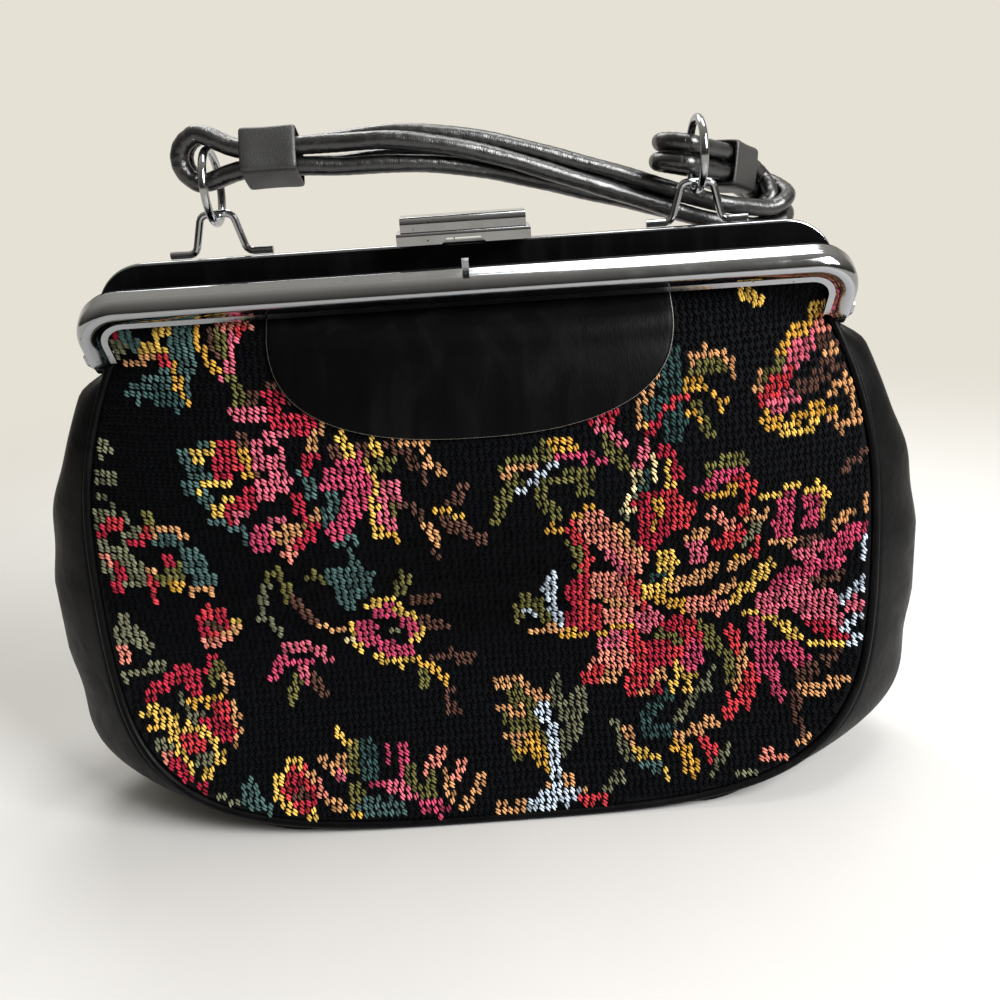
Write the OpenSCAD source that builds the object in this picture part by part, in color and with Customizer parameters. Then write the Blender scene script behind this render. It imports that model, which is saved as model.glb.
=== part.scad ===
// Carpet bag with a hinged two-part metal frame, a bar clasp and a doubled cord handle.
// Millimetres, +Z up. The origin is the middle of the flat base, +Y is the back of the bag.
// The frame stands partly open, as it rests with the clasp undone.

/* [Body] */
// Height of the frame's hinge axis above the floor
hinge_height = 187; // [180:1:200]
// Width across the side seams at their widest
seam_width = 301; // [290:1:320]
// Width across the bulging sides
gusset_width = 352; // [335:1:370]
// Height at which the side seams are furthest apart
widest_height = 100; // [90:1:110]
// Depth between the front and rear seams along the base
base_depth = 93; // [86:1:104]
// How far the slack front stands forward of the hinge plane
front_billow = 37; // [33:0.5:42]
// Depth of the pinched waist of the front, from the hinge plane
front_waist = 20; // [17:0.5:24]
// Thickness of the needlework with its backing
panel_thickness = 2.2; // [1.8:0.1:2.6]
// Thickness of the vinyl sides
vinyl_thickness = 1.2; // [0.9:0.1:1.6]
// Thickness of the lining cloth
lining_thickness = 0.9; // [0.6:0.1:1.2]
// Diameter of the piping in the seams
piping_d = 3.4; // [2.6:0.1:3.6]
// Clearance between sewn pieces
seam_gap = 0.35; // [0.3:0.05:0.6]

/* [Base] */
// Length of the vinyl bottom
base_length = 240; // [226:1:244]
// Thickness of the vinyl bottom
base_thickness = 2; // [1.5:0.1:2.4]
// Corner radius of the vinyl bottom
base_corner = 40; // [30:1:40]
// Length of the stiffening board
board_length = 146; // [120:1:150]
// Width of the stiffening board
board_width = 74; // [60:1:78]
// Thickness of the stiffening board
board_thickness = 1.5; // [1:0.1:2]

/* [Apron] */
// Width of the half-moon apron
apron_width = 145; // [120:1:165]
// Drop of the apron's rounded outline
apron_drop = 37.2; // [32:0.2:42]
// Thickness of the apron
apron_thickness = 0.9; // [0.7:0.1:1.2]

/* [Frame] */
// Outer width of the rear half, which nests between the front half's ears
rear_rail_width = 277; // [272:0.5:277.5]
// Height of both halves above the hinge axis
rail_height = 34; // [31:0.5:38]
// Width of the metal band, from its outer edge to its lip
rail_band = 11; // [10:0.5:12]
// Thickness of the metal band, front to back
rail_thickness = 7.9; // [7.4:0.1:8.6]
// Wall of the folded metal
rail_wall = 1.2; // [0.9:0.1:1.4]
// Radius of the frame's outer corners
rail_corner = 19; // [17:0.5:22]
// Rounding of the band's outer edge
rail_round = 4; // [3:0.5:4]
// Rounding of the band's inner edge
rail_edge = 1; // [0.6:0.1:1.4]
// Lean of the front half at rest
open_angle = 34; // [30:1:38]
// Height above the hinge axis at which the legs end in their ears
leg_bottom = 6.5; // [6.2:0.1:7.5]
// Diameter of the hinge ears
ear_d = 11; // [9.5:0.5:11.5]
// Thickness of the hinge ears
ear_thickness = 2; // [1.6:0.1:2.2]
// Running gap between the ears of the two halves
ear_gap = 1; // [0.8:0.1:1.4]
// Diameter of the hinge rivets
rivet_d = 4; // [3:0.1:5]
// Diameter of the rivet heads
rivet_head_d = 8; // [7:0.1:9]
// Thickness of a rivet head
rivet_head = 1.2; // [0.8:0.1:1.6]
// Running clearance of the rivets in their holes
rivet_play = 0.05; // [0.03:0.01:0.1]
// Half of the gap between the closed halves
frame_gap = 0.3; // [0.3:0.05:0.6]
// Thickness of the vinyl facings
facing_thickness = 0.8; // [0.6:0.1:1.1]
// Height of the vinyl facings
facing_height = 15; // [12:0.5:18]
// Bare metal left above a facing
facing_reveal = 0.8; // [0.5:0.1:1.5]

/* [Clasp] */
// Length of the clasp bar
clasp_length = 48.4; // [42:0.2:54]
// Reach of the bar in front of the hinge plane
clasp_reach = 9; // [8.6:0.1:10]
// Reach of the bar behind the hinge plane
clasp_back = 9.3; // [9:0.1:10.5]
// Height of the bar's lower step
clasp_step = 4.4; // [4:0.1:5]
// Height of the bar's upper step
clasp_crown = 5.3; // [4.8:0.1:6]
// Set-back of the upper step
clasp_setback = 2.2; // [1.4:0.1:2.4]
// Wall of the clasp bar
clasp_wall = 1.2; // [0.9:0.1:1.4]
// Clearance under the clasp bar
clasp_lift_gap = 0.6; // [0.5:0.1:0.8]
// Width of the finger notch in the bar's front edge
notch_width = 16; // [10:0.5:22]
// Height of the finger notch
notch_height = 2; // [1.2:0.1:2.6]
// Diameter of the clasp pin
clasp_pin_d = 2; // [1.6:0.1:2.2]
// Running clearance of the clasp pin
clasp_pin_play = 0.05; // [0.03:0.01:0.1]
// Thickness of the clasp's seat plate
clasp_plate = 0.7; // [0.5:0.1:0.9]
// Width of the catch nib
nib_width = 2.4; // [1.8:0.1:2.4]
// Height of the catch nib above the rail
nib_height = 5.5; // [4.5:0.1:6]

/* [Handle fittings] */
// Place of the left staple along the frame
left_staple_x = -90; // [-96:1:-86]
// Place of the right staple along the frame
right_staple_x = 87; // [84:1:92]
// Diameter of the staple wire
staple_wire = 2.8; // [2.4:0.1:3.2]
// Span of a staple over its feet
staple_span = 38; // [34:0.5:42]
// Height of a staple above the rail
staple_height = 16.6; // [15.5:0.1:18]
// Length of a staple's straight top
staple_top = 7; // [6:0.1:8]
// Bend radius of the staple wire
staple_bend = 3; // [2.6:0.1:3.4]
// Slope of a staple's legs
staple_slope = 75; // [70:1:80]
// Diameter of the ring wire
ring_wire = 3; // [2.6:0.1:3.2]
// Inner diameter of the rings
ring_inner = 22.4; // [21.8:0.1:23.4]
// Clearance between a ring and its staple
ring_play = 0.3; // [0.3:0.05:0.5]

/* [Handle] */
// Diameter of the handle cord
cord_d = 6.6; // [6:0.1:6.8]
// Clearance between neighbouring strands
strand_gap = 0.4; // [0.3:0.05:0.5]
// Clearance between a cord loop and its ring
loop_play = 0.4; // [0.3:0.05:0.6]
// Height of the left loops between strand centres
loop_height = 16.3; // [15.5:0.1:17]
// Length of a keeper
keeper_length = 20; // [17:0.5:22]
// Wall of a keeper
keeper_wall = 1.2; // [0.9:0.1:1.4]
// Clearance of the strands in a keeper
keeper_play = 0.6; // [0.5:0.05:0.8]
// Corner rounding of a keeper
keeper_round = 2; // [1.5:0.1:3]

/* [Hidden] */
$fn = 48;
over = 1;

// Colours of the finishes
needlework = "#20191c";
vinyl = "#1b1c1f";
cloth = "#3a3431";
chrome = "#c4c8cc";
board = "#8a7350";

// Frame sections, measured outwards from the hinge plane
facing_inner = frame_gap;
facing_outer = facing_inner + facing_thickness;
rail_inner = facing_outer + frame_gap;
rail_outer = rail_inner + rail_thickness;
rail_mid = (rail_inner + rail_outer) / 2;
rail_lip = rail_height - rail_band;
rail_top = hinge_height + rail_height;
slot_hold = 4;

// Seam outline: a squarish curve below the widest height, drawn in to the hinges above it
seam_half = seam_width / 2;
seam_floor = 2;
seam_power = 3.5;
draw_power = 2.6;
seam_offset = piping_d / 2 + seam_gap;
front_rail_width = rear_rail_width + 2 * (ear_thickness + ear_gap);
top_tuck = 7.5;
front_top_half = front_rail_width / 2 - top_tuck;
rear_top_half = rear_rail_width / 2 - top_tuck;

function draw_in(z) = pow(min(1, max(0, (z - widest_height) / (hinge_height - widest_height))), draw_power);
function side_half(z, top_half) = seam_half - (seam_half - top_half) * draw_in(z);
function low_half(a) = seam_half * pow(cos(a), 2 / seam_power);
function low_z(a) = widest_height - (widest_height - seam_floor) * pow(sin(a), 2 / seam_power);

// One outline station is [half width, height]; low stations go by angle, high ones by height
low_angles = [86, 80, 72, 62, 50, 37, 24, 12];
high_shares = [0, 0.17, 0.34, 0.52, 0.69, 0.83, 0.93];
function high_z(s) = widest_height + s * (hinge_height - widest_height);
function stations(top_half) = concat(
    [for (a = low_angles) [low_half(a), low_z(a)]],
    [for (s = high_shares) [side_half(high_z(s), top_half), high_z(s)]]
);

// The same outline drawn in by a distance square to itself
function inset(rows, distance) = [for (i = [0:len(rows) - 1])
    let (d = rows[min(len(rows) - 1, i + 1)] - rows[max(0, i - 1)])
    rows[i] - distance * [d[1], -d[0]] / norm(d)];

// Depth of the front panel's middle line and of its seam, by height
function front_slot_z(h) = hinge_height + h * cos(open_angle) - rail_mid * sin(open_angle);
function front_slot_y(h) = -h * sin(open_angle) - rail_mid * cos(open_angle);
front_lip_z = front_slot_z(rail_lip);
front_lip_y = front_slot_y(rail_lip);
front_top_z = front_slot_z(rail_lip + slot_hold);
front_top_y = front_slot_y(rail_lip + slot_hold);
base_half = base_depth / 2;
front_middle = [
    [seam_floor, -base_half - 0.5],
    [0.055 * hinge_height, -base_half + 2.5],
    [0.135 * hinge_height, -base_half + 11],
    [0.24 * hinge_height, -front_waist - 5],
    [0.36 * hinge_height, -front_waist],
    [0.48 * hinge_height, -front_waist - 6],
    [0.59 * hinge_height, -front_billow + 3.5],
    [0.7 * hinge_height, -front_billow],
    [0.8 * hinge_height, -front_billow + 0.5],
    [0.91 * hinge_height, -front_billow + 3.5],
    [0.985 * hinge_height, -front_billow + 8],
    [front_lip_z - 9, front_lip_y - 7],
    [front_lip_z - 5, front_lip_y - 2.2],
    [front_lip_z - 2.5, front_lip_y + 0.9],
    [front_lip_z, front_lip_y + 0.6],
    [front_top_z, front_top_y + 0.3]
];
front_seam = [
    [seam_floor, -base_half],
    [0.055 * hinge_height, -base_half + 2],
    [0.16 * hinge_height, -base_half + 9],
    [0.32 * hinge_height, -base_half + 18],
    [0.53 * hinge_height, -base_half + 22],
    [0.8 * hinge_height, -17],
    [0.96 * hinge_height, -8.5],
    [front_slot_z(leg_bottom - 3), front_slot_y(leg_bottom - 3)],
    [front_lip_z, front_lip_y],
    [front_top_z, front_top_y]
];
rear_top_z = hinge_height + rail_lip + slot_hold;
rear_middle = [
    [seam_floor, base_half + 0.5],
    [0.055 * hinge_height, base_half + 0.3],
    [0.16 * hinge_height, base_half - 2],
    [0.32 * hinge_height, base_half - 6.5],
    [0.53 * hinge_height, base_half - 14.5],
    [0.7 * hinge_height, base_half - 22],
    [0.86 * hinge_height, 17],
    [0.96 * hinge_height, 11.5],
    [hinge_height + rail_lip - 12, 7.2],
    [hinge_height + rail_lip - 5, rail_mid + 0.3],
    [hinge_height + rail_lip, rail_mid],
    [rear_top_z, rail_mid]
];
rear_seam = [
    [seam_floor, base_half],
    [0.055 * hinge_height, base_half - 1.5],
    [0.16 * hinge_height, base_half - 7],
    [0.32 * hinge_height, base_half - 13],
    [0.53 * hinge_height, base_half - 20],
    [0.8 * hinge_height, 15],
    [0.96 * hinge_height, 8],
    [hinge_height + leg_bottom, rail_mid],
    [rear_top_z, rail_mid]
];

// Middle of a panel's thickness at a share of its half width
function crown(u) = 1 - pow(abs(u), 3);
function front_y(u, z) = lookup(z, front_seam) * (1 - crown(u)) + lookup(z, front_middle) * crown(u);
function rear_y(u, z) = lookup(z, rear_seam) * (1 - crown(u)) + lookup(z, rear_middle) * crown(u);

// Outline of the bulging side halfway between the two seams
gusset_half = gusset_width / 2 - vinyl_thickness;
gusset_floor = base_thickness + vinyl_thickness + 0.6;
gusset_power = 6;
gusset_draw = 1.6;
gusset_widest = 0.375 * hinge_height;
gusset_top_half = front_top_half + 9;
function gusset_mid(z) = gusset_half - (gusset_half - gusset_top_half)
    * pow(max(0, (z - gusset_widest) / (hinge_height - gusset_widest)), gusset_draw);

// A closed sheet between an outer and an inner grid of points, seen from outside with rows upwards
module sheet(outer, inner) {
    rows = len(outer);
    cols = len(outer[0]);
    function at(side, r, c) = side * rows * cols + r * cols + c;
    faces_out = [for (r = [0:rows - 2]) for (c = [0:cols - 2]) each [
        [at(0, r, c), at(0, r + 1, c), at(0, r + 1, c + 1)],
        [at(0, r, c), at(0, r + 1, c + 1), at(0, r, c + 1)]]];
    faces_in = [for (r = [0:rows - 2]) for (c = [0:cols - 2]) each [
        [at(1, r, c), at(1, r + 1, c + 1), at(1, r + 1, c)],
        [at(1, r, c), at(1, r, c + 1), at(1, r + 1, c + 1)]]];
    last = rows - 1;
    edge_low = [for (c = [0:cols - 2]) each [
        [at(0, 0, c), at(0, 0, c + 1), at(1, 0, c + 1)],
        [at(0, 0, c), at(1, 0, c + 1), at(1, 0, c)]]];
    edge_high = [for (c = [0:cols - 2]) each [
        [at(0, last, c + 1), at(0, last, c), at(1, last, c)],
        [at(0, last, c + 1), at(1, last, c), at(1, last, c + 1)]]];
    edge_start = [for (r = [0:rows - 2]) each [
        [at(0, r + 1, 0), at(0, r, 0), at(1, r, 0)],
        [at(0, r + 1, 0), at(1, r, 0), at(1, r + 1, 0)]]];
    end = cols - 1;
    edge_end = [for (r = [0:rows - 2]) each [
        [at(0, r, end), at(0, r + 1, end), at(1, r + 1, end)],
        [at(0, r, end), at(1, r + 1, end), at(1, r, end)]]];
    polyhedron(
        points = concat([for (row = outer) each row], [for (row = inner) each row]),
        faces = concat(faces_out, faces_in, edge_low, edge_high, edge_start, edge_end)
    );
}

// A round tube along a path; side gives each ring's second axis, and a closed path joins its ends
function unit(v) = v / norm(v);
module tube(path, side, radius, sides, closed) {
    n = len(path);
    function before(i) = path[closed ? (i + n - 1) % n : max(0, i - 1)];
    function after(i) = path[closed ? (i + 1) % n : min(n - 1, i + 1)];
    rings = [for (i = [0:n - 1])
        let (t = unit(after(i) - before(i)),
             b = unit(side[i] - (side[i] * t) * t),
             a = cross(b, t))
        [for (k = [0:sides - 1])
            path[i] + radius * (cos(k * 360 / sides) * a + sin(k * 360 / sides) * b)]];
    spans = closed ? n : n - 1;
    skin = [for (i = [0:spans - 1]) for (k = [0:sides - 1])
        let (i2 = (i + 1) % n, k2 = (k + 1) % sides)
        each [[i * sides + k, i2 * sides + k2, i2 * sides + k],
              [i * sides + k, i * sides + k2, i2 * sides + k2]]];
    caps = closed ? [] : [
        [for (k = [0:sides - 1]) sides - 1 - k],
        [for (k = [0:sides - 1]) (n - 1) * sides + k]];
    polyhedron(points = [for (ring = rings) each ring], faces = concat(skin, caps));
}

// Soft body

panel_shares = [for (i = [-7:7]) sin(i * 90 / 7)];

// Rows of a panel: the seam outline, then the rows that go up into the frame's channel
front_lip_rows = [front_lip_z - 9, front_lip_z - 5, front_lip_z - 2.5, front_lip_z, front_top_z];
lip_draw = 0.1;
function front_rows() = concat(inset(stations(front_top_half), seam_offset),
    [[front_top_half - seam_offset, hinge_height]],
    [for (z = front_lip_rows) [front_top_half - seam_offset - lip_draw * (z - front_lip_rows[0]), z]]);
function rear_rows() = concat(inset(stations(rear_top_half), seam_offset), [
    [rear_top_half - seam_offset, hinge_height + leg_bottom],
    [rear_top_half - seam_offset, hinge_height + rail_lip - 5],
    [rear_top_half - seam_offset - 1, hinge_height + rail_lip],
    [rear_top_half - seam_offset - 3, rear_top_z]]);

module front_panel() {
    function grid(shift) = [for (row = front_rows()) [for (u = panel_shares)
        [u * row[0], front_y(u, row[1]) + shift, row[1]]]];
    color(needlework) sheet(grid(-panel_thickness / 2), grid(panel_thickness / 2));
}

module rear_panel() {
    function grid(shift) = [for (row = rear_rows()) [for (u = panel_shares)
        [-u * row[0], rear_y(u, row[1]) + shift, row[1]]]];
    color(needlework) sheet(grid(panel_thickness / 2), grid(-panel_thickness / 2));
}

// Stations of a side: front seam, rear seam and bulge as [half width, height], bottom end first
gusset_angles = [for (a = low_angles) if (a <= 72) a];
function gusset_low(a) = [
    [low_half(a), low_z(a)],
    [low_half(a), low_z(a)],
    [gusset_half * pow(cos(a), 2 / gusset_power),
     widest_height - (widest_height - gusset_floor) * pow(sin(a), 2 / gusset_power)]];
function gusset_high(s) = [
    [side_half(high_z(s), front_top_half), high_z(s)],
    [side_half(high_z(s), rear_top_half), high_z(s)],
    [gusset_mid(high_z(s)), high_z(s)]];
gusset_stations = concat(
    [for (a = gusset_angles) gusset_low(a)],
    [for (s = high_shares) gusset_high(s)]);
gusset_columns = [for (i = [-4:4]) i / 4];

module gusset() {
    last = len(gusset_stations) - 1;
    function normal(i) =
        let (a = gusset_stations[max(0, i - 1)][0], b = gusset_stations[min(last, i + 1)][0], d = unit(b - a))
        [d[1], 0, -d[0]];
    function seam_point(i) =
        let (st = gusset_stations[i][0]) [st[0], lookup(st[1], front_seam), st[1]];
    function point(i, s) =
        let (st = gusset_stations[i],
             f = seam_point(i),
             r = [st[1][0], lookup(st[1][1], rear_seam), st[1][1]],
             m = [st[2][0], (f[1] + r[1]) / 2, st[2][1]],
             bulge = m - (f + r) / 2,
             half = (r - f) / 2,
             away = half + 2 * bulge,
             run = unit(seam_point(min(last, i + 1)) - seam_point(max(0, i - 1))),
             margin = seam_offset / norm(away - (away * run) * run),
             t = s * (1 - margin))
        (f + r) / 2 + t * half + (1 - t * t) * bulge;
    function grid(shift) = [for (i = [0:last]) [for (s = gusset_columns) point(i, s) + shift * normal(i)]];
    color(vinyl) sheet(grid(vinyl_thickness), grid(0));
}
module right_gusset() gusset();
module left_gusset() mirror([1, 0, 0]) gusset();

module rounded_plate(length, width, corner, thickness) {
    linear_extrude(thickness) union() {
        square([length - 2 * corner, width], center = true);
        square([length, width - 2 * corner], center = true);
        for (x = [-1, 1]) for (y = [-1, 1])
            translate([x * (length / 2 - corner), y * (width / 2 - corner)]) circle(corner);
    }
}

base_margin = 2.5;
board_corner = 12;
board_z = base_thickness + seam_gap;
module base_panel() {
    color(vinyl) rounded_plate(base_length, base_depth - 2 * base_margin, base_corner, base_thickness);
}
module base_board() {
    color(board) translate([0, 0, board_z]) rounded_plate(board_length, board_width, board_corner, board_thickness);
}

// Piping: from the left hinge down, along the base and up to the right hinge
module piping(seam, top_half) {
    right = [for (st = stations(top_half)) [st[0], lookup(st[1], seam), st[1]]];
    n = len(right);
    path = concat(
        [for (i = [n - 1:-1:0]) [-right[i][0], right[i][1], right[i][2]]],
        right);
    color(vinyl) tube(path, [for (p = path) [0, 1, 0]], piping_d / 2, 6, false);
}
module front_piping() piping(front_seam, front_top_half);
module rear_piping() piping(rear_seam, rear_top_half);

// Apron: a half-moon that lies on the front and goes up into the frame with it
apron_power = 2.5;
apron_angles = [88, 78, 66, 54, 42, 32, 24];
apron_start_z = front_lip_rows[0];
function apron_half(z) = apron_width / 2
    * pow(1 - pow(max(0, apron_start_z - z) / apron_drop, apron_power), 1 / apron_power);
module front_apron() {
    rows = concat(
        [for (a = apron_angles) [apron_width / 2 * pow(cos(a), 2 / apron_power),
                                 apron_start_z - apron_drop * pow(sin(a), 2 / apron_power)]],
        [for (z = concat([high_z(0.93), hinge_height], front_lip_rows)) [apron_half(z), z]]);
    shares = [for (i = [-5:5]) sin(i * 18)];
    inner = panel_thickness / 2 + seam_gap;
    function half(z) = side_half(z, front_top_half) - seam_offset;
    function grid(shift) = [for (row = rows) [for (s = shares)
        [s * row[0], front_y(s * row[0] / half(row[1]), row[1]) - shift, row[1]]]];
    color(vinyl) sheet(grid(inner + apron_thickness), grid(inner));
}

// Lining: a cloth tub that follows the panels from inside
lining_gap = 1.6;
lining_floor = board_z + board_thickness + 1;
lining_inset = 6;
lining_top_z = front_lip_z - 3;
lining_shares = [for (i = [-6:6]) i / 6];
lining_rows = concat(
    [for (z = [lining_floor, 9, 16, 28, 45, 68, widest_height]) z],
    [for (s = [0.34, 0.6, 0.83, 0.93, 1]) high_z(s)],
    [front_lip_rows[0], lining_top_z]);
function low_half_at(z) = z >= widest_height ? side_half(z, rear_top_half)
    : seam_half * pow(1 - pow((widest_height - z) / (widest_height - seam_floor), seam_power), 1 / seam_power);
module lining() {
    n = len(lining_shares);
    ring = 2 * n;
    rows = len(lining_rows);
    gap = panel_thickness / 2 + lining_gap;
    function wall(z, inset) = concat(
        [for (s = lining_shares) let (x = s * (low_half_at(z) - lining_inset - inset))
            [x, front_y(x / low_half_at(z), z) + gap + inset, z]],
        [for (i = [n - 1:-1:0]) let (x = lining_shares[i] * (low_half_at(z) - lining_inset - inset))
            [x, rear_y(x / low_half_at(z), z) - gap - inset, z]]);
    outer = [for (z = lining_rows) wall(z, 0)];
    inner = [for (i = [0:rows - 1])
        wall(lining_rows[i] + (i == 0 ? lining_thickness : 0), lining_thickness)];
    function at(side, r, k) = side * rows * ring + r * ring + k % ring;
    skin = [for (r = [0:rows - 2]) for (k = [0:ring - 1]) each [
        [at(0, r, k), at(0, r + 1, k), at(0, r + 1, k + 1)],
        [at(0, r, k), at(0, r + 1, k + 1), at(0, r, k + 1)],
        [at(1, r, k), at(1, r + 1, k + 1), at(1, r + 1, k)],
        [at(1, r, k), at(1, r, k + 1), at(1, r + 1, k + 1)]]];
    rim = [for (k = [0:ring - 1]) each [
        [at(0, rows - 1, k + 1), at(0, rows - 1, k), at(1, rows - 1, k)],
        [at(0, rows - 1, k + 1), at(1, rows - 1, k), at(1, rows - 1, k + 1)]]];
    floor_faces = [for (k = [0:n - 2]) let (m = ring - 1 - k) each [
        [at(0, 0, k), at(0, 0, k + 1), at(0, 0, m - 1)],
        [at(0, 0, k), at(0, 0, m - 1), at(0, 0, m)],
        [at(1, 0, k), at(1, 0, m - 1), at(1, 0, k + 1)],
        [at(1, 0, k), at(1, 0, m), at(1, 0, m - 1)]]];
    color(cloth) polyhedron(
        points = concat([for (row = outer) each row], [for (row = inner) each row]),
        faces = concat(skin, rim, floor_faces));
}

// Frame

// Section of the metal band: x is outwards from the hinge plane, y is down from its outer edge
module band_shape(inset, extra) {
    round_in = rail_round - inset;
    edge_in = max(0.2, rail_edge - inset);
    low = rail_inner + inset;
    high = rail_outer - inset;
    top = -inset;
    bottom = -rail_band - extra;
    translate([low + edge_in, bottom]) square([high - round_in - low - edge_in, top - bottom]);
    translate([low, bottom]) square([high - round_in - low, top - edge_in - bottom]);
    translate([low, bottom]) square([high - low, top - round_in - bottom]);
    translate([low + edge_in, top - edge_in]) circle(edge_in);
    translate([high - round_in, top - round_in]) circle(round_in);
}
module band_section() {
    difference() {
        band_shape(0, 0);
        band_shape(rail_wall, over);
    }
}

// A frame half, standing on the hinge axis along X with its metal on the +Y side
module frame_half(width) {
    straight = width - 2 * rail_corner;
    leg = rail_height - rail_corner - leg_bottom;
    difference() {
        union() {
            translate([-straight / 2, 0, rail_height])
                rotate([90, 0, 90]) linear_extrude(straight) band_section();
            for (side = [0, 1]) mirror([side, 0, 0]) {
                translate([straight / 2, 0, rail_height - rail_corner])
                    rotate([90, 0, 0]) rotate_extrude(angle = 90)
                        translate([rail_corner, 0]) rotate(-90) band_section();
                translate([width / 2, 0, leg_bottom])
                    linear_extrude(leg) mirror([1, -1, 0]) band_section();
                translate([width / 2 - ear_thickness, 0, 0]) ear();
            }
        }
        for (side = [0, 1]) mirror([side, 0, 0])
            translate([width / 2 - ear_thickness - over, 0, 0])
                rotate([0, 90, 0]) cylinder(d = rivet_d + 2 * rivet_play, h = ear_thickness + 2 * over);
    }
}

// Hinge ear: a disc on the hinge axis with an arm up to the leg's outer wall
module ear() {
    arm_top = leg_bottom + 4;
    rotate([0, 90, 0]) cylinder(d = ear_d, h = ear_thickness);
    rotate([90, 0, 90]) linear_extrude(ear_thickness)
        polygon([[0, ear_d / 2], [rail_inner, arm_top], [rail_outer, arm_top], [rail_outer, leg_bottom],
                 [ear_d / 2, 0], [0, 0]]);
}

// Places a piece of the front half, which is built as a mirrored rear half, at its lean
module on_front() {
    translate([0, 0, hinge_height]) rotate([open_angle, 0, 0]) mirror([0, 1, 0]) children();
}
module on_rear() {
    translate([0, 0, hinge_height]) children();
}

module front_rail() color(chrome) on_front() frame_half(front_rail_width);
module rear_rail() color(chrome) on_rear() frame_half(rear_rail_width);

module facing(width) {
    half = width / 2 - facing_reveal;
    top = rail_height - facing_reveal;
    low = rail_height - facing_reveal - facing_height;
    round_r = rail_corner - facing_reveal;
    translate([0, facing_outer, 0]) rotate([90, 0, 0]) linear_extrude(facing_thickness)
        intersection() {
            union() {
                translate([-half + round_r, low - round_r]) square([2 * (half - round_r), top - low + round_r]);
                translate([-half, low - round_r]) square([2 * half, top - low]);
                for (x = [-1, 1]) translate([x * (half - round_r), top - round_r]) circle(round_r);
            }
            translate([-half, low]) square([2 * half, facing_height]);
        }
}
module front_facing() color(vinyl) on_front() facing(front_rail_width);
module rear_facing() color(vinyl) on_rear() facing(rear_rail_width);

rivet_head_gap = 0.15;
module rivet() {
    start = rear_rail_width / 2 - ear_thickness - rivet_head_gap;
    end = front_rail_width / 2 + rivet_head_gap;
    tip_d = 0.6 * rivet_head_d;
    translate([start, 0, hinge_height]) rotate([0, 90, 0]) {
        cylinder(d = rivet_d, h = end - start);
        translate([0, 0, -rivet_head]) cylinder(d1 = tip_d, d2 = rivet_head_d, h = rivet_head);
        translate([0, 0, end - start]) cylinder(d1 = rivet_head_d, d2 = tip_d, h = rivet_head);
    }
}
module right_rivet() color(chrome) rivet();
module left_rivet() color(chrome) mirror([1, 0, 0]) rivet();

// Clasp

nib_y = rail_inner + rail_edge + nib_width / 2 + 0.3;
nib_slope = 0.7;
module catch_nib() {
    lean = 0.5;
    color(chrome) on_front() translate([-nib_width / 2, nib_y - nib_width / 2, rail_height])
        rotate([90, 0, 90]) linear_extrude(nib_width)
            polygon([[0, 0], [nib_width, 0], [nib_width, nib_height - nib_slope],
                     [nib_width - lean, nib_height], [lean, nib_height], [0, nib_height - nib_slope]]);
}

clasp_z = rail_top + clasp_lift_gap;
clasp_top = clasp_z + clasp_step + clasp_crown;
crown_length = clasp_length - 3;
crown_front = clasp_reach - clasp_setback;
crown_back = clasp_back - 1;
crown_round = 2.5;
step_round = 1.2;
clasp_pin_y = crown_back - clasp_wall - 2.3;
clasp_pin_z = rail_top + 3.6;
lug_r = 2.1;
ear_r = 1.8;

// A block along X with rounded upper edges, from -front to back and up from its underside
module clasp_block(length, front, back, height, edge) {
    translate([-length / 2, 0, 0]) rotate([90, 0, 90]) linear_extrude(length) union() {
        translate([-front, 0]) square([front + back, height - edge]);
        translate([-front + edge, 0]) square([front + back - 2 * edge, height]);
        translate([-front + edge, height - edge]) circle(edge);
        translate([back - edge, height - edge]) circle(edge);
    }
}
module clasp_cover() {
    wall2 = 2 * clasp_wall;
    rear_cut = 2.4;
    notch_top = notch_width - 2 * notch_height;
    lug_x = 0.3 * clasp_length;
    lug_w = 2;
    color(chrome) difference() {
        union() {
            difference() {
                translate([0, 0, clasp_z]) union() {
                    clasp_block(clasp_length, clasp_reach, clasp_back, clasp_step, step_round);
                    clasp_block(crown_length, crown_front, crown_back, clasp_step + clasp_crown, crown_round);
                }
                translate([0, 0, clasp_z - over]) union() {
                    clasp_block(clasp_length - wall2, clasp_reach - clasp_wall, clasp_back - clasp_wall,
                        clasp_step - clasp_wall + over, 0.4);
                    clasp_block(crown_length - wall2, crown_front - clasp_wall, crown_back - clasp_wall,
                        clasp_step + clasp_crown - clasp_wall + over, crown_round - clasp_wall);
                }
                translate([-clasp_length, crown_back - clasp_wall, clasp_z - over])
                    cube([2 * clasp_length, 2 * clasp_wall + over + 2, rear_cut + over]);
                translate([0, -clasp_reach + clasp_wall + over, clasp_z]) rotate([90, 0, 0])
                    linear_extrude(clasp_wall + 2 * over)
                        polygon([[-notch_width / 2, -over], [notch_width / 2, -over], [notch_width / 2, 0],
                                 [notch_top / 2, notch_height], [-notch_top / 2, notch_height],
                                 [-notch_width / 2, 0]]);
            }
            for (x = [-lug_x - lug_w, lug_x]) translate([x, clasp_pin_y, clasp_pin_z]) {
                rotate([0, 90, 0]) cylinder(r = lug_r, h = lug_w);
                translate([0, -lug_r, 0])
                    cube([lug_w, 2 * lug_r, clasp_top - clasp_wall - clasp_pin_z + clasp_wall / 2]);
            }
        }
        translate([-clasp_length / 2, clasp_pin_y, clasp_pin_z]) rotate([0, 90, 0])
            cylinder(d = clasp_pin_d + 2 * clasp_pin_play, h = clasp_length);
    }
}

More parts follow.
